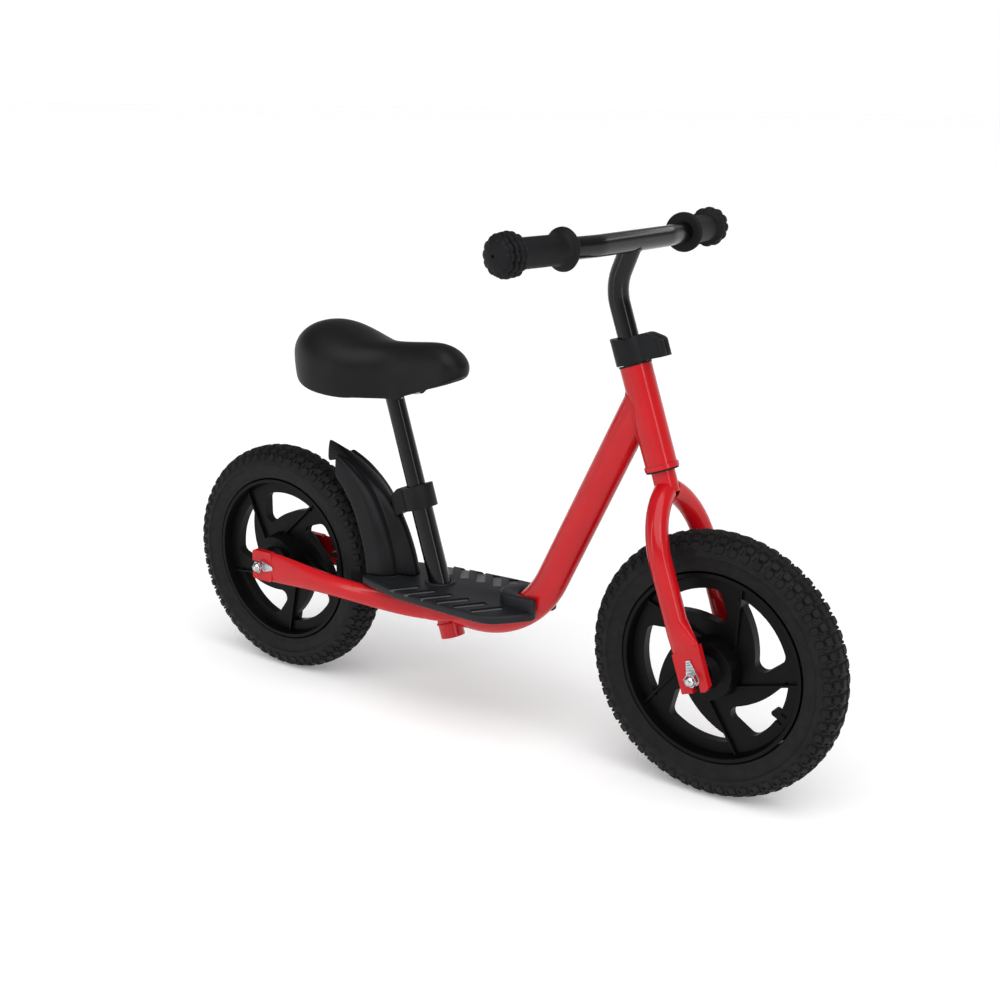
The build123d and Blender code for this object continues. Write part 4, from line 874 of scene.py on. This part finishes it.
def deck_plan(rear_x, front_x, rear_half, front_half, corner_r, notch_half, notch_x, lip_x):
    """The footrest from above, with a slot in its front edge for the down tube."""
    mid_x = rear_x + (front_x - rear_x) * 0.3
    mid_half = (rear_half + front_half) / 2 + 5
    near = [(rear_x, -rear_half + 8)]
    near += arc(rear_x + 8, -rear_half + 8, 8, 180, 262, 5)
    near += [(mid_x, -mid_half)]
    near += [(front_x - 2 * corner_r - 6, -front_half + 1.2)]
    near += arc(front_x - corner_r, -front_half + corner_r, corner_r, 268, 320, 10)
    # the front edge runs out to the end of the collar
    near += [((front_x + lip_x) / 2 - 3, -notch_half - 23), (lip_x, -notch_half - 9),
             (lip_x, -notch_half)]
    near += arc(notch_x + notch_half, 0, notch_half, 270, 180, 8)
    return near + [(x, -y) for x, y in reversed(near[:-1])]


class BIKE_OT_footrest(bpy.types.Operator):
    """Footrest: a moulded tray with slanted pockets down both sides and a collar for the down tube"""
    bl_idname = "bike.footrest"
    bl_label = "Footrest"

    def execute(self, context):
        sizes = context.scene.bike.footrest
        low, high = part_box("footrest")
        top = high.z / MM - COLLAR_HEIGHT
        bottom = low.z / MM
        front_x, rear_x = 72.0, low.x / MM
        front_half = high.y / MM
        tube_half = (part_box("down_tube")[1].y) / MM
        place = Matrix.Scale(MM, 4)
        plan = deck_plan(rear_x, front_x, front_half - 24, front_half, 34, tube_half + 0.5, 40,
                         high.x / MM - 0.5)
        tray = slab("footrest_tray", plan, bottom, top, [FINISHES["deck"]], place)
        bevelled(tray, sizes.edge, 4, 60)
        cut_away(tray, self.pockets(sizes, front_x, top, place))
        bore = slab("seat_tube_bore", arc(0, 0, SEAT_TUBE_HOLE, 0, 352.5, 47), -40, 40, [FINISHES["deck"]],
                    local(self.on_deck(top), SEAT_AXIS, FORWARD))
        cut_away(tray, bore)
        shade(tray.data, 30)
        place_on(tray, "frame", "deck_plastic", "footrest")
        collar = self.collar(bottom, high.x / MM, tube_half, top + COLLAR_HEIGHT, place)
        place_on(collar, "frame", "deck_plastic", "footrest")
        seat = self.seat_ring(top)
        place_on(seat, "frame", "deck_plastic", "footrest")
        return {"FINISHED"}

    @staticmethod
    def pockets(sizes, front_x, top, place):
        """Slanted bars that are cut out of both sides of the tray's top."""
        points, faces = [], []
        first = front_x - 34
        half_l, half_w = 19.5, sizes.pocket_width / 2
        for side in (1, -1):
            for i in range(6):
                angle = radians(side * 125)
                cx, cy = first - i * sizes.pocket_pitch, side * 44
                start = len(points)
                for z in (top - sizes.pocket_depth, top + 5):
                    for u, v in ((-1, -1), (1, -1), (1, 1), (-1, 1)):
                        u, v = u * half_l, v * half_w
                        points.append((cx + u * cos(angle) - v * sin(angle),
                                       cy + u * sin(angle) + v * cos(angle), z))
                faces += [tuple(start + n for n in quad) for quad in (
                    (3, 2, 1, 0), (4, 5, 6, 7), (0, 1, 5, 4), (1, 2, 6, 5), (2, 3, 7, 6), (3, 0, 4, 7))]
        cutter = piece("pocket_cutter", points, faces, place, [FINISHES["deck"], FINISHES["pocket"]], 30)
        # the floor faces take the pale pocket finish, whose grey is a painted reflection
        for face in cutter.data.polygons:
            face.material_index = 1 if face.normal.z < -0.9 else 0
        return cutter

    @staticmethod
    def collar(bottom, front_x, tube_half, top, place):
        """A round-topped collar behind and beside the down tube, open to the front."""
        inner, outer = tube_half + 0.3, tube_half + 9.3
        centre_x = front_x - 56 + outer
        inner_x = centre_x + 14
        outline = [(front_x, -outer)] + arc(centre_x, 0, outer, 270, 90, 24)[:] + [(front_x, outer)]
        outline += [(front_x, inner)] + arc(inner_x, 0, inner, 90, 270, 16) + [(front_x, -inner)]
        made = slab("down_tube_collar", list(reversed(outline)), bottom, top, [FINISHES["deck"]], place)
        return bevelled(made, 3.2, 4, 50)

    @staticmethod
    def on_deck(top):
        """Where the seat tube's axis meets the tray's top."""
        centre = middle("seat_tube")
        return centre + SEAT_AXIS * ((top * MM - centre.z) / SEAT_AXIS.z)

    def seat_ring(self, top):
        """A low lip round the hole where the seat tube comes through the tray."""
        hole = SEAT_TUBE_HOLE
        profile = [(hole, -2.0), (18.4, -2.0), (18.2, 1.2), (17.4, 2.0), (14.2, 2.2), (hole, 1.6),
                   (hole, -2.0)]
        place = local(self.on_deck(top), UP, FORWARD)
        return turned("seat_tube_lip", profile, place, [FINISHES["deck"]], 64)


# ---------------------------------------------------------------- clamps

def clamp_plan(ring_r, reach_mm, nose_half, steps):
    """The clamp's outline from one lip of its slit round to the other."""
    slit = 1.0
    corner = 5.0
    half = [(reach_mm, slit), (reach_mm, (slit + nose_half - corner) / 2)]
    half += arc(reach_mm - corner, nose_half - corner, corner, 0, 90, 6)
    meet = sqrt(ring_r ** 2 - nose_half ** 2)
    run = reach_mm - corner - meet
    half += [(meet + run * (1 - s / 9), nose_half) for s in range(1, 9)]
    half += arc(0, 0, ring_r, degrees(atan2(nose_half, meet)), 180, steps)
    return half + [(x, -y) for x, y in reversed(half[:-1])]


def clamp_body(name, place, height, reach_mm, lean, drop, rise):
    """A split moulded clamp. Its top leans down to the nose, then falls by drop; its underside rises."""
    outline = clamp_plan(CLAMP_RING, reach_mm, CLAMP_NOSE_HALF, 28)
    n = len(outline)
    rings = 8
    columns = []
    for k, (x, y) in enumerate(outline):
        angle = atan2(y, x)
        if abs(y) <= 1.0 and x > 0:
            inner = (CLAMP_BORE, 1.0 if k == 0 else -1.0)
        else:
            inner = (CLAMP_BORE * cos(angle), CLAMP_BORE * sin(angle))
        columns.append([
            (inner[0] + (x - inner[0]) * s / (rings - 1), inner[1] + (y - inner[1]) * s / (rings - 1))
            for s in range(rings)
        ])

    def heights(x):
        """The clamp's top and underside at this distance out from the tube's axis."""
        share = min(max((x - 8) / (reach_mm - 8), 0.0), 1.0)
        top = height - lean * min(x, 8) + 2 * sin(pi * min(share * 1.4, 1.0))
        under = rise * max(0.0, (x - 22) / (reach_mm - 22)) + 0.1 * lean * (8 - min(x, 8))
        return top - drop * (max(0.0, share - 0.35) / 0.65) ** 2, under

    points = []
    for column in columns:
        points += [(x, y, heights(x)[0]) for x, y in column]
        points += [(x, y, heights(x)[1]) for x, y in reversed(column)]
    around = 2 * rings
    faces = grid_faces(n, around)
    faces.append(tuple(range(around)))
    faces.append(tuple(reversed(range((n - 1) * around, n * around))))
    made = piece(name, points, faces, place, [FINISHES["nylon"]], 35)
    return bevelled(made, 1.2, 3, 50)


class BIKE_OT_clamps(bpy.types.Operator):
    """The two moulded height clamps, one on the seat tube and one on the steerer"""
    bl_idname = "bike.clamps"
    bl_label = "Clamps"

    def execute(self, context):
        forward = LEFT.cross(SEAT_AXIS)
        start, end = reach("seat_clamp", SEAT_AXIS)
        # the clamp sits a little down the tube from the CAD solid's place
        origin = point_on_axis("seat_tube", SEAT_AXIS, start - 2 * MM)
        seat = clamp_body("seat_height_clamp", local(origin, SEAT_AXIS, -forward), (end - start) / MM,
                          reach_mm=37, lean=0.05, drop=8.0, rise=-4.0)
        place_on(seat, "frame", "clamp_plastic", "seat_clamp")
        forward = LEFT.cross(STEER_AXIS)
        start, end = reach("handlebar_clamp", STEER_AXIS)
        start = max(start, reach("upper_headset_bush", STEER_AXIS)[1] + 0.2 * MM)
        origin = point_on_axis("head_tube", STEER_AXIS, start)
        origin = self.on_steering_axis(origin)
        bar = clamp_body("bar_height_clamp", local(origin, STEER_AXIS, forward), (end - start) / MM,
                         reach_mm=40.5, lean=0.18, drop=10.0, rise=-1.0)
        place_on(bar, "fork", "clamp_plastic", "handlebar_clamp")
        return {"FINISHED"}

    @staticmethod
    def on_steering_axis(point):
        """The nearest point of the steering axis."""
        pivot = Vector(JOINTS["steering"]["pos_m"])
        return pivot + STEER_AXIS * STEER_AXIS.dot(point - pivot)


# ---------------------------------------------------------------- welds, ribs and screws

def bead_tree(name, material, spacing, radius):
    """Geometry nodes: overlapping ripples of weld along a line."""
    tree, inputs, output = geometry_tree(name, Spacing=spacing, Radius=radius)
    line = add(tree, "GeometryNodeMeshToCurve", {"Mesh": inputs.outputs["Geometry"]})
    points = add(tree, "GeometryNodeCurveToPoints", {
        "Curve": line.outputs[0], "Length": inputs.outputs["Spacing"],
    }, mode="LENGTH")
    ball = add(tree, "GeometryNodeMeshUVSphere", {
        "Segments": 8, "Rings": 5, "Radius": inputs.outputs["Radius"],
    })
    ripples = add(tree, "GeometryNodeInstanceOnPoints", {
        "Points": points.outputs["Points"], "Instance": ball.outputs["Mesh"],
        "Rotation": points.outputs["Rotation"], "Scale": (1.0, 1.0, 0.72),
    })
    real = add(tree, "GeometryNodeRealizeInstances", {0: ripples.outputs[0]})
    smooth = add(tree, "GeometryNodeSetShadeSmooth", {"Geometry": real.outputs[0]})
    painted = add(tree, "GeometryNodeSetMaterial", {"Geometry": smooth.outputs[0], "Material": material})
    tree.links.new(painted.outputs[0], output.inputs[0])
    return tree


def bead(name, line, material, body, slot, radius=1.5):
    """A weld bead along a closed line of points, in metres."""
    mesh = bpy.data.meshes.new(name)
    count = len(line)
    mesh.from_pydata([tuple(p) for p in line], [(i, (i + 1) % count) for i in range(count)], [])
    made = bpy.data.objects.new(name, mesh)
    bpy.context.scene.collection.objects.link(made)
    sizes = {"Spacing": radius * 0.8 * MM, "Radius": radius * MM}
    run_tree(made, bead_tree(name + "_ripples", material, sizes["Spacing"], sizes["Radius"]), sizes)
    return place_on(made, body, slot)


def tube_meets_tube(start, direction, half_across, half_deep, centre, axis, radius, steps=72):
    """Where an oval tube that runs along direction first meets a round tube."""
    across = direction.cross(UP).normalized()
    deep = across.cross(direction).normalized()
    line = []
    for i in range(steps):
        angle = tau * i / steps
        ray = start + across * (half_across * cos(angle)) + deep * (half_deep * sin(angle))
        offset = ray - centre
        d = direction - axis * direction.dot(axis)
        o = offset - axis * offset.dot(axis)
        a, b, c = d.dot(d), 2 * o.dot(d), o.dot(o) - radius ** 2
        root = b * b - 4 * a * c
        if root < 0:
            continue
        line.append(ray + direction * ((-b - sqrt(root)) / (2 * a)))
    return line


def ring_line(centre, axis, radius, steps=72):
    """A round line of points about an axis."""
    side = axis.orthogonal().normalized()
    other = axis.cross(side)
    return [
        centre + (side * cos(tau * i / steps) + other * sin(tau * i / steps)) * radius
        for i in range(steps)
    ]


class BIKE_OT_welds(bpy.types.Operator):
    """Weld beads at the head tube, the seat sleeve, the crown and the bar"""
    bl_idname = "bike.welds"
    bl_label = "Weld beads"

    def execute(self, context):
        pivot = Vector(JOINTS["steering"]["pos_m"])
        # the down tube rises to the head tube at the slope between its last two cross-sections
        mesh = frame["nodes"]["down_tube"].data
        low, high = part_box("down_tube")
        slope = self.tube_slope(mesh, high)
        head_line = tube_meets_tube(slope[0], slope[1], 15.5 * MM, 19 * MM, pivot, STEER_AXIS, 17 * MM)
        bead("head_tube_weld", head_line, FINISHES["red"], "frame", "red_paint", 1.6)
        seat = middle("seat_sleeve")
        on_tube = seat + SEAT_AXIS * ((low.z + 0.001 - seat.z) / SEAT_AXIS.z)
        sleeve_line = ring_line(on_tube, SEAT_AXIS, 14.6 * MM)
        bead("seat_sleeve_weld", sleeve_line, FINISHES["red"], "frame", "red_paint", 1.5)
        bead("crown_weld", self.crown_seam(), FINISHES["red"], "fork", "red_paint", 2.4)
        for side, name in ((1, "left"), (-1, "right")):
            self.stay_nose(name, side)
        bar = middle("handlebar_tube")
        stem_top = self.stem_end()
        bar_r = BAR_RADIUS * MM
        bar_centre = Vector((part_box("handlebar_tube")[1].x - bar_r, 0, bar.z))
        line = tube_meets_tube(stem_top[0], stem_top[1], bar_r, bar_r, bar_centre, LEFT, bar_r)
        bead("bar_weld", line, FINISHES["black"], "handlebar", "black_paint", 1.3)
        return {"FINISHED"}

    @staticmethod
    def crown_seam(steps=56):
        """The loop where the two fork legs meet under the head tube, on the middle plane."""
        leg = [v.co for v in frame["nodes"]["left_fork_leg"].data.vertices]
        inner = min(p.y for p in leg) + 0.6 * MM
        face = [p for p in leg if p.y < inner]
        centre = sum(face, Vector()) / len(face)
        loop = {}
        for p in face:
            slot = int((atan2(p.z - centre.z, p.x - centre.x) / tau + 0.5) * steps) % steps
            if slot not in loop or (p - centre).length > (loop[slot] - centre).length:
                loop[slot] = p
        return [Vector((loop[k].x, 0, loop[k].z)) for k in sorted(loop)]

    @staticmethod
    def stay_nose(name, side):
        """The stay's front end, beaten flat and run out along the down tube's side."""
        mesh = frame["nodes"][f"{name}_stay"].data
        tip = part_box(f"{name}_stay")[1].x
        end = [v.co for v in mesh.vertices if v.co.x > tip - 0.0006]
        z_low, z_high = min(p.z for p in end) / MM, max(p.z for p in end) / MM
        out = max(p.y * side for p in end) / MM
        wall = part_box("down_tube")[1].y / MM - 1.0
        points, columns, rows = [], 28, 14
        for i in range(rows):
            t = sin(pi / 2 * i / (rows - 1))
            shrink = sqrt(max(0.0, 1 - t * t))
            x = tip / MM - 3 + 46 * t
            mid_z, half_z = (z_low + z_high) / 2 + 1.5 * t, (z_high - z_low) / 2 * (0.35 + 0.65 * shrink)
            half_y = (out - wall) / 2 * shrink + 0.2
            mid_y = wall + half_y - 0.4
            for j in range(columns):
                a = tau * j / columns
                points.append((x, side * (mid_y + half_y * cos(a)), mid_z + half_z * sin(a)))
        faces = grid_faces(rows, columns)
        faces += [tuple(range(columns)), tuple(reversed(range((rows - 1) * columns, rows * columns)))]
        made = piece(f"{name}_stay_nose", points, faces, Matrix.Scale(MM, 4), [FINISHES["red"]], 50)
        place_on(made, "frame", "red_paint")

    @staticmethod
    def tube_slope(mesh, high):
        """A point on the down tube's centre line, and its direction up to the head tube."""
        def centre_at(z):
            """The middle of the tube's two flanks at this height."""
            near = [v.co for v in mesh.vertices if abs(v.co.z - z) < 0.02 and abs(v.co.y) > 0.0154]
            return sum(near, Vector()) / len(near)
        lower, upper = centre_at(high.z - 0.14), centre_at(high.z - 0.06)
        lower.y = upper.y = 0
        return lower, (upper - lower).normalized()

    @staticmethod
    def stem_end():
        """A point on the stem's upper run, and its direction up to the bar."""
        mesh = frame["nodes"]["stem"].data
        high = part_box("stem")[1]
        near = [v.co for v in mesh.vertices if v.co.z > high.z - 0.045 and abs(v.co.y) > 0.0108]
        near.sort(key=lambda p: p.z)
        third = max(1, len(near) // 3)
        lower = sum(near[:third], Vector()) / third
        upper = sum(near[-third:], Vector()) / third
        lower.y = upper.y = 0
        return lower, (upper - lower).normalized()


def screw_tree(material, head_r, head_h):
    """Geometry nodes: domed screw heads with a hexagon socket, one at each point."""
    tree, inputs, output = geometry_tree("screw_heads", Head_radius=head_r, Head_height=head_h)
    rim = add(tree, "GeometryNodeMeshCylinder", {
        "Vertices": 24, "Radius": inputs.outputs["Head_radius"], "Depth": inputs.outputs["Head_height"],
    })
    socket = add(tree, "GeometryNodeMeshCylinder",
                 {"Vertices": 6, "Radius": head_r * 0.5, "Depth": head_h})
    sunk = add(tree, "GeometryNodeTransform", {
        "Geometry": socket.outputs["Mesh"], "Translation": (0, 0, -head_h * 0.55),
    })
    head = add(tree, "GeometryNodeMeshBoolean", operation="DIFFERENCE", solver="EXACT")
    tree.links.new(rim.outputs["Mesh"], head.inputs["Mesh 1"])
    tree.links.new(sunk.outputs[0], head.inputs["Mesh 2"])
    set_all = add(tree, "GeometryNodeInstanceOnPoints", {
        "Points": inputs.outputs["Geometry"], "Instance": head.outputs["Mesh"],
    })
    real = add(tree, "GeometryNodeRealizeInstances", {0: set_all.outputs[0]})
    painted = add(tree, "GeometryNodeSetMaterial", {"Geometry": real.outputs[0], "Material": material})
    tree.links.new(painted.outputs[0], output.inputs[0])
    return tree


def island_centres(node):
    """The middle of each separate solid of a node, at its lowest face."""
    work = bmesh.new()
    work.from_mesh(frame["nodes"][node].data)
    bmesh.ops.remove_doubles(work, verts=work.verts, dist=1e-5)
    left, centres = set(work.verts), []
    while left:
        group, front = set(), [left.pop()]
        while front:
            vert = front.pop()
            group.add(vert)
            for edge in vert.link_edges:
                other = edge.other_vert(vert)
                if other in left:
                    left.discard(other)
                    front.append(other)
        low = Vector([min(v.co[i] for v in group) for i in range(3)])
        high = Vector([max(v.co[i] for v in group) for i in range(3)])
        centres.append(Vector(((low.x + high.x) / 2, (low.y + high.y) / 2, low.z)))
    work.free()
    return centres


class BIKE_OT_screws(bpy.types.Operator):
    """Socket screws under the footrest's bracket and under the saddle's plate"""
    bl_idname = "bike.screws"
    bl_label = "Screws"

    def execute(self, context):
        head_r, head_h = 4 * MM, 3 * MM
        for node, body in (("deck_screws", "frame"), ("saddle_screws", "saddle")):
            centres = island_centres(node)
            mesh = bpy.data.meshes.new(node)
            mesh.from_pydata([tuple(c + UP * head_h / 2) for c in centres], [], [])
            made = bpy.data.objects.new(node.replace("_screws", "_socket_screws"), mesh)
            context.scene.collection.objects.link(made)
            run_tree(made, screw_tree(FINISHES["zinc"], head_r, head_h),
                     {"Head_radius": head_r, "Head_height": head_h})
            bevelled(made, 0.5, 2, 40)
            place_on(made, body, "zinc", node)
        return {"FINISHED"}


def rib_tree(material, sizes):
    """Geometry nodes: a row of pressed ribs that shorten outwards, and its twin on the far side."""
    tree, inputs, output = geometry_tree("pressed_ribs", **sizes)
    size = inputs.outputs
    bar = add(tree, "GeometryNodeMeshCube", {
        "Size": (1.0, 1.0, 1.0), "Vertices X": 6, "Vertices Y": 2, "Vertices Z": 2,
    })
    # the bar's top is lifted to half a wave, and its base stays flat
    spot = add(tree, "ShaderNodeSeparateXYZ", {0: add(tree, "GeometryNodeInputPosition").outputs[0]})
    turn = add(tree, "ShaderNodeMath", {0: spot.outputs["X"], 1: pi, 2: pi / 2},
               operation="MULTIPLY_ADD")
    wave = add(tree, "ShaderNodeMath", {0: turn.outputs[0]}, operation="SINE")
    top = add(tree, "ShaderNodeMath", {0: spot.outputs["Z"], 1: 0.5}, operation="ADD")
    lift = add(tree, "ShaderNodeMath", {0: wave.outputs[0], 1: top.outputs[0]}, operation="MULTIPLY")
    shaped = add(tree, "ShaderNodeCombineXYZ", {
        "X": spot.outputs["X"], "Y": spot.outputs["Y"], "Z": lift.outputs[0],
    })
    rib = add(tree, "GeometryNodeSetPosition", {
        "Geometry": bar.outputs["Mesh"], "Position": shaped.outputs[0],
    })
    first = add(tree, "ShaderNodeCombineXYZ", {"X": size["First"], "Z": size["Face"]})
    pitch = add(tree, "ShaderNodeCombineXYZ", {"X": size["Pitch"]})
    row = add(tree, "GeometryNodeMeshLine", {
        "Count": size["Count"], "Start Location": first.outputs[0], "Offset": pitch.outputs[0],
    })
    out = add(tree, "ShaderNodeSeparateXYZ", {0: add(tree, "GeometryNodeInputPosition").outputs[0]})
    length = add(tree, "ShaderNodeMath", {0: out.outputs["X"], 1: size["Taper"], 2: size["Root"]},
                 operation="MULTIPLY_ADD")
    scale = add(tree, "ShaderNodeCombineXYZ", {
        "X": size["Width"], "Y": length.outputs[0], "Z": size["Lift"],
    })
    ribs = add(tree, "GeometryNodeInstanceOnPoints", {
        "Points": row.outputs[0], "Instance": rib.outputs[0], "Scale": scale.outputs[0],
    })
    real = add(tree, "GeometryNodeRealizeInstances", {0: ribs.outputs[0]})
    twin = add(tree, "GeometryNodeTransform", {"Geometry": real.outputs[0], "Rotation": (pi, 0, 0)})
    pair = add(tree, "GeometryNodeJoinGeometry")
    tree.links.new(real.outputs[0], pair.inputs[0])
    tree.links.new(twin.outputs[0], pair.inputs[0])
    painted = add(tree, "GeometryNodeSetMaterial", {"Geometry": pair.outputs[0], "Material": material})
    tree.links.new(painted.outputs[0], output.inputs[0])
    return tree


class BIKE_OT_washer_ribs(bpy.types.Operator):
    """Pressed ribs across the tab of each safety washer"""
    bl_idname = "bike.washer_ribs"
    bl_label = "Washer ribs"

    def execute(self, context):
        for end, body, along in (("front", "fork", STEER_AXIS), ("rear", "frame", FORWARD)):
            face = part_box(f"{end}_tab_washers")[1].y - 0.1 * MM
            sizes = {
                "Count": 4, "First": 9.2 * MM, "Pitch": 2.7 * MM, "Face": face, "Width": 1.7 * MM,
                "Lift": 0.7 * MM, "Root": 14 * MM, "Taper": -0.48,
            }
            mesh = bpy.data.meshes.new(f"{end}_washer_ribs")
            made = bpy.data.objects.new(mesh.name, mesh)
            context.scene.collection.objects.link(made)
            run_tree(made, rib_tree(FINISHES["zinc"], sizes), sizes)
            made.data.transform(local(AXLES[end], LEFT, along) @ Matrix.Scale(1 / MM, 4))
            tidy_mesh(made.data)
            shade(made.data, 60)
            place_on(made, body, "zinc")
        return {"FINISHED"}


# ---------------------------------------------------------------- CAD nodes' finishes

class BIKE_OT_finishes(bpy.types.Operator):
    """Makes the finishes and gives each carried-over CAD node its own"""
    bl_idname = "bike.finishes"
    bl_label = "Finishes"

    def execute(self, context):
        FINISHES.update(make_finishes(context.scene.bike.colours))
        for name, nodes in NODE_FINISHES.items():
            for node in nodes:
                for place in frame["nodes"][node].material_slots:
                    place.material = FINISHES[name]
        return {"FINISHED"}


# ---------------------------------------------------------------- stage

def softbox(name, place, aim, size, power):
    """A soft rectangular lamp that faces the bike."""
    light = bpy.data.lights.new(name, "AREA")
    light.shape = "RECTANGLE"
    light.size, light.size_y = size
    light.energy = power
    made = bpy.data.objects.new(name, light)
    made.location = place
    made.rotation_euler = (Vector(aim) - Vector(place)).to_track_quat("-Z", "Y").to_euler()
    bpy.context.scene.collection.objects.link(made)


class BIKE_OT_stage(bpy.types.Operator):
    """A pale floor, soft lights and the camera"""
    bl_idname = "bike.stage"
    bl_label = "Stage"

    def execute(self, context):
        sizes = context.scene.bike.stage
        low, high = [Vector(corner) for corner in cad_box]
        centre = (low + high) / 2
        rim = [(60 * cos(tau * i / 48), 60 * sin(tau * i / 48), 0) for i in range(48)]
        floor = piece("floor", rim, [tuple(range(48))], Matrix.Identity(4), [pale_floor()])
        # colours are shown as they are, with no film curve
        context.scene.view_settings.view_transform = "Standard"
        world = bpy.data.worlds.new("studio")
        world.use_nodes = True
        tree = world.node_tree
        around = add(tree, "ShaderNodeTexCoord")
        height = add(tree, "ShaderNodeSeparateXYZ", {0: around.outputs["Generated"]})
        # white walls up to the lamps, and a dim ceiling between them
        walls = add(tree, "ShaderNodeMapRange", {
            "Value": height.outputs["Z"],
            "From Min": 0.07, "From Max": 0.3, "To Min": 1.0, "To Max": 0.24,
        })
        tree.links.new(walls.outputs["Result"], tree.nodes["Background"].inputs["Strength"])
        tree.nodes["Background"].inputs["Color"].default_value = linear("#ffffff")
        context.scene.world = world
        sun = bpy.data.lights.new("overhead", "SUN")
        sun.energy = 2.35
        sun.angle = radians(70)
        overhead = bpy.data.objects.new("overhead", sun)
        overhead.rotation_euler = Vector((-0.35, 0.45, -1.0)).to_track_quat("-Z", "Y").to_euler()
        context.scene.collection.objects.link(overhead)
        softbox("near_strip", (1.9, -0.6, 1.0), centre, (0.22, 1.9), 7)
        softbox("tail_strip", (-0.9, -1.9, 1.1), centre, (0.22, 1.9), 7)
        softbox("back", (0.4, 2.4, 1.8), centre, (1.6, 0.25), 2.5)

        turn, lift, roll = sizes.azimuth, sizes.elevation, sizes.roll
        ahead = Vector((-sin(turn) * cos(lift), cos(turn) * cos(lift), -sin(lift)))
        level = Vector((cos(turn), sin(turn), 0))
        above = level.cross(ahead)
        right = level * cos(roll) + above * sin(roll)
        top = above * cos(roll) - level * sin(roll)
        data = bpy.data.cameras.new("camera")
        data.lens = sizes.lens
        data.sensor_width = 36
        camera = bpy.data.objects.new("camera", data)
        camera.matrix_world = (
            Matrix.Translation(centre + Vector(sizes.aim) - ahead * sizes.distance)
            @ Matrix((right, top, -ahead)).transposed().to_4x4()
        )
        context.scene.collection.objects.link(camera)
        context.scene.camera = camera
        return {"FINISHED"}


# ---------------------------------------------------------------- the sidebar and the run

class BIKE_PT_panel(bpy.types.Panel):
    """Lists the bike's pieces"""
    bl_idname = "BIKE_PT_panel"
    bl_label = "Balance bike"
    bl_space_type = "VIEW_3D"
    bl_region_type = "UI"
    bl_category = "Balance bike"

    def draw(self, context):
        for name in ("stage", *PIECES):
            self.layout.operator(f"bike.{name}")


PIECES = ("finishes", "tyres", "saddle", "grips", "mudguard", "footrest", "clamps", "welds",
          "screws", "washer_ribs")

CLASSES = (
    BikeColours, TyreSizes, SaddleSizes, GripSizes, GuardSizes, FootrestSizes, StageSizes,
    BikeSettings,
    BIKE_OT_tyres, BIKE_OT_saddle, BIKE_OT_grips, BIKE_OT_mudguard, BIKE_OT_footrest,
    BIKE_OT_clamps, BIKE_OT_welds, BIKE_OT_screws, BIKE_OT_washer_ribs, BIKE_OT_finishes,
    BIKE_OT_stage, BIKE_PT_panel,
)


def register():
    for item in CLASSES:
        bpy.utils.register_class(item)
    bpy.types.Scene.bike = PointerProperty(type=BikeSettings)


def unregister():
    del bpy.types.Scene.bike
    for item in reversed(CLASSES):
        bpy.utils.unregister_class(item)


def main():
    register()
    bpy.ops.bike.stage()
    for name in PIECES:
        getattr(bpy.ops.bike, name)()


if __name__ == "__main__":
    main()
